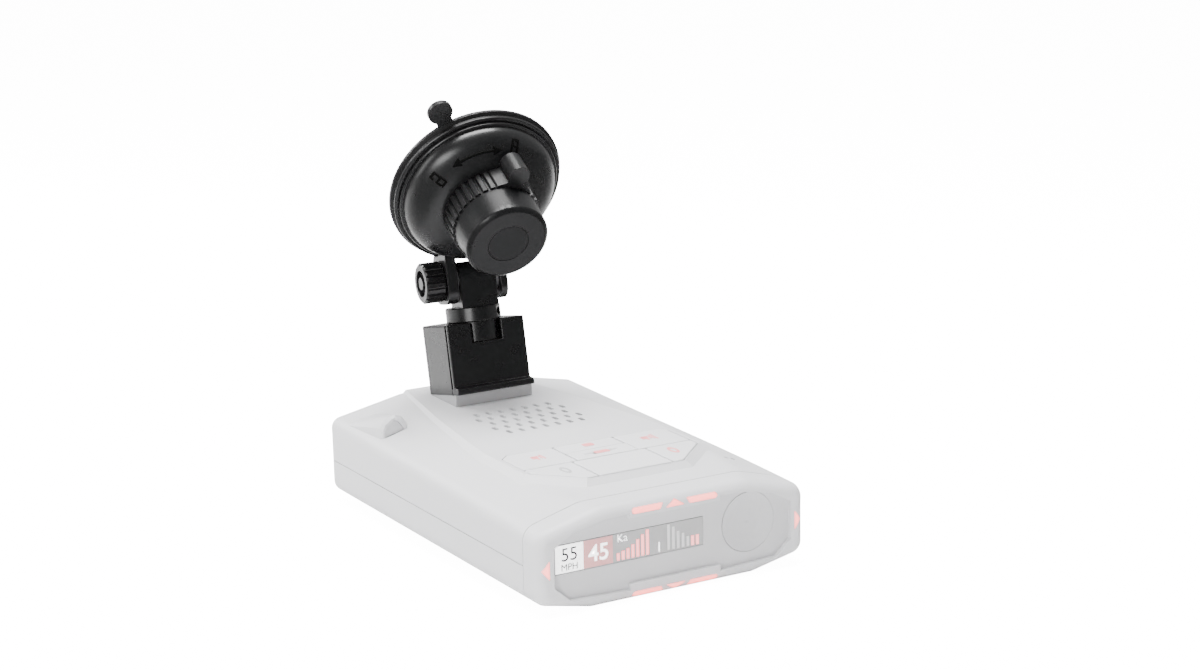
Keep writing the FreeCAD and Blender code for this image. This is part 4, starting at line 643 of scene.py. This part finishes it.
dome = {
    "rim": 24.8, "neck": 14.6, "foot": 3.8, "top": 11.4, "sweep": 72.0,
    "relief": 0.35, "sink": 0.15, "lineWidth": 0.6, "longEdge": 0.8,
}


def domeHeight(radius):
    across = (dome["rim"] - radius) / (dome["rim"] - dome["neck"])
    sweep = math.radians(dome["sweep"])
    angle = math.acos(max(-1.0, min(1.0, 1 - across * (1 - math.cos(sweep)))))
    return dome["foot"] + (dome["top"] - dome["foot"]) * math.sin(angle) / math.sin(sweep)


def wrapOnDome(mesh, degrees, radius):
    # x runs round the dome, y runs outwards from the given radius, z stands off its skin
    for vertex in mesh.verts:
        x, y, z = vertex.co
        reach = radius + y
        angle = math.radians(degrees) + x / radius
        height = domeHeight(reach) + z - dome["sink"]
        vertex.co = (reach * math.cos(angle), reach * math.sin(angle), height)


def finishMark(mesh, name, degrees, radius):
    longEdges = [edge for edge in mesh.edges if edge.calc_length() > dome["longEdge"]]
    bmesh.ops.subdivide_edges(mesh, edges=longEdges, cuts=2, use_grid_fill=True)
    wrapOnDome(mesh, degrees, radius)
    # the marks take the darker, duller black: painted crease shade
    finishPiece(mesh, name, cupFrame, "markShadeBlack", "cup")


arrow = {
    "radius": 20.3, "start": 82.0, "end": 129.0, "steps": 16,
    "headLength": 2.8, "headWidth": 2.4, "shaftEnd": 0.7, "headMiddle": 0.667,  # shares of the head's length
    "unitLength": 1.5, "unitWidth": 1.732,  # of the triangle that the head is made from
}


def buildArrow():
    depth = dome["relief"] + dome["sink"]
    line, head = dome["lineWidth"] / 2, arrow["headLength"]
    half = math.radians(arrow["end"] - arrow["start"]) / 2 * arrow["radius"]
    shaft = half - head * arrow["shaftEnd"]
    step = 2 * shaft / arrow["steps"]
    mesh = bmesh.new()
    for i in range(arrow["steps"]):
        x0 = -shaft + step * i
        addPlate(mesh, x0, x0 + step, -line, line, depth)
    size = Matrix.Diagonal((head / arrow["unitLength"], arrow["headWidth"] / arrow["unitWidth"], 1, 1))
    for side in (-1, 1):
        place = shift(side * (half - head * arrow["headMiddle"]), 0, depth / 2)
        addTriangle(mesh, depth, place @ size @ turn("Z", -90 * side))
    finishMark(mesh, "lever_arrow", (arrow["start"] + arrow["end"]) / 2, arrow["radius"])


padlock = {
    "open": (146.0, 19.3), "closed": (70.5, 20.6), "size": 2.5, "line": 0.75, "shackle": 0.34, "tall": 1.1,
    "openLift": 0.5,
}


def buildPadlock(name, spot, opened):
    # a hollow square with a bow above it, which stands up off one side when open
    depth = dome["relief"] + dome["sink"]
    size, line = padlock["size"], dome["lineWidth"] * padlock["line"]
    half = size / 2
    mesh = bmesh.new()
    for x0, x1, y0, y1 in (
        (-half, half, -half, -half + line), (-half, half, half - line, half),
        (-half, -half + line, -half, half), (half - line, half, -half, half),
    ):
        addPlate(mesh, x0, x1, y0, y1, depth)
    lift = padlock["openLift"] if opened else 0.0
    reach = size * padlock["shackle"]
    bow = half + lift + padlock["tall"]
    for side in (-1, 1):
        foot = half + lift * 2 if side > 0 else half
        x = side * reach
        addPlate(mesh, x - line / 2, x + line / 2, foot, bow, depth)
    addPlate(mesh, -reach - line / 2, reach + line / 2, bow, bow + line, depth)
    finishMark(mesh, name, *spot)


buildArrow()
buildPadlock("open_padlock", padlock["open"], True)
buildPadlock("closed_padlock", padlock["closed"], False)
print("dome marks moulded")


# woven cloth that lies on the speaker, seen through the slots

grille = {"reach": 13.4, "rise": 0.25, "thickness": 0.3, "segments": 64}


def buildSpeakerCloth():
    low, high = boxOf("speaker")
    middle = (low + high) / 2
    mesh = bmesh.new()
    bmesh.ops.create_cone(
        mesh, cap_ends=True, segments=grille["segments"], radius1=grille["reach"], radius2=grille["reach"],
        depth=grille["thickness"], matrix=shift(middle.x, middle.y, grille["thickness"] / 2),
    )
    place = shift(0, 0, high.z + grille["rise"])
    finishPiece(mesh, "speaker_cloth", place, "speakerCloth", "detector")


buildSpeakerCloth()
print("speaker cloth laid")


# floor, light and camera

floorLook = {
    "reach": 3.0, "colour": 0.9, "roughness": 0.7, "specular": 0.2, "glow": 14.0,
    "mirrorDark": 0.12, "mirrorFrom": 0.02, "mirrorTo": 0.16,
}


def buildFloor():
    mesh = bmesh.new()
    bmesh.ops.create_grid(mesh, x_segments=2, y_segments=2, size=floorLook["reach"])
    data = bpy.data.meshes.new("floor")
    mesh.to_mesh(data)
    mesh.free()
    floor = bpy.data.objects.new("floor", data)
    bpy.context.scene.collection.objects.link(floor)
    material, tree, shader = newMaterial("paleFloor")
    shader.inputs["Roughness"].default_value = floorLook["roughness"]
    shader.inputs["Specular IOR Level"].default_value = floorLook["specular"]
    shader.inputs["Emission Color"].default_value = (1, 1, 1, 1)
    rays = addNode(tree, "ShaderNodeLightPath")
    glow = sums(tree, "MULTIPLY", rays.outputs["Is Camera Ray"], floorLook["glow"])
    # gloss sees a dark floor in front and a pale one behind, as with black card laid before the object
    depth = addNode(tree, "ShaderNodeSeparateXYZ", Vector=objectPlace(tree)).outputs["Y"]
    card = addNode(
        tree, "ShaderNodeMapRange", Value=depth, From_Min=floorLook["mirrorFrom"],
        From_Max=floorLook["mirrorTo"], To_Min=floorLook["mirrorDark"], To_Max=1.0,
    )
    shown = addNode(
        tree, "ShaderNodeMix", {"data_type": "FLOAT"}, i0=rays.outputs["Is Glossy Ray"],
        i2=1.0, i3=card.outputs[0],
    )
    tree.links.new(glow, shader.inputs["Emission Strength"])
    tree.links.new(scaled(tree, (floorLook["colour"],) * 3, shown.outputs[0]), shader.inputs["Base Color"])
    data.materials.append(material)


buildFloor()

studio = {"towards": (-0.50, -0.86, 0.0), "from": -0.2, "to": 0.75, "bright": 0.75, "dim": 0.13, "matt": 0.7}


def buildStudio():
    # a pale room, bright behind and beside the object and dim on the driver's side
    world = bpy.data.worlds.new("studio")
    bpy.context.scene.world = world
    world.use_nodes = True
    tree = world.node_tree
    background = tree.nodes["Background"]
    aim = addNode(tree, "ShaderNodeTexCoord").outputs["Generated"]
    facing = addNode(
        tree, "ShaderNodeVectorMath", {"operation": "DOT_PRODUCT"}, i0=aim, i1=studio["towards"],
    )
    strength = addNode(
        tree, "ShaderNodeMapRange", {"interpolation_type": "SMOOTHSTEP"}, Value=facing.outputs["Value"],
        From_Min=studio["from"], From_Max=studio["to"], To_Min=studio["bright"], To_Max=studio["dim"],
    )
    diffuse = addNode(tree, "ShaderNodeLightPath").outputs["Is Diffuse Ray"]
    damped = sums(tree, "MULTIPLY_ADD", diffuse, studio["matt"] - 1.0, 1.0)
    level = sums(tree, "MULTIPLY", strength.outputs[0], damped)
    tree.links.new(level, background.inputs["Strength"])
    background.inputs["Color"].default_value = (1, 1, 1, 1)


buildStudio()

lamps = {
    "overhead": {"place": (0.0, 0.0, 0.9), "target": (0, 0, 0.03), "reach": (0.6, 0.4), "power": 27.5},
    "leftPanel": {"place": (-0.8, 0.2, 0.4), "target": (0, 0, 0.06), "reach": (0.3, 0.5), "power": 3.0},
    "frontFill": {"place": (-0.8, -0.7, 0.3), "target": (0, 0, 0.03), "reach": (0.5, 0.4), "power": 11.0},
    "floorWash": {
        "place": (-0.35, 0.75, 0.5), "target": (-0.14, 0.26, 0.0), "reach": (0.3, 0.3), "power": 6.0},
}


def softLight(name, look):
    data = bpy.data.lights.new(name, "AREA")
    data.shape = "RECTANGLE"
    data.size, data.size_y = look["reach"]
    data.energy = look["power"]
    lamp = bpy.data.objects.new(name, data)
    lamp.location = look["place"]
    aim = Vector(look["target"]) - Vector(look["place"])
    lamp.rotation_euler = aim.to_track_quat("-Z", "Y").to_euler()
    bpy.context.scene.collection.objects.link(lamp)


for lampName, lampLook in lamps.items():
    softLight(lampName, lampLook)

cameraLook = {
    "lens": 72.88, "sensor": 36.0, "near": 0.01, "far": 20.0, "place": (-0.34622, -0.62235, 0.23053),
    "right": (0.86139, -0.50752, -0.02089), "up": (0.13499, 0.18908, 0.97264),
    "forward": (0.48968, 0.84064, -0.23138),
}


def buildCamera():
    data = bpy.data.cameras.new("camera")
    data.lens = cameraLook["lens"]
    data.sensor_width = cameraLook["sensor"]
    data.clip_start = cameraLook["near"]
    data.clip_end = cameraLook["far"]
    camera = bpy.data.objects.new("camera", data)
    backward = -Vector(cameraLook["forward"])
    axes = Matrix((cameraLook["right"], cameraLook["up"], backward)).transposed().to_4x4()
    camera.matrix_world = Matrix.Translation(cameraLook["place"]) @ axes
    bpy.context.scene.collection.objects.link(camera)
    bpy.context.scene.camera = camera


buildCamera()
print("stage set")
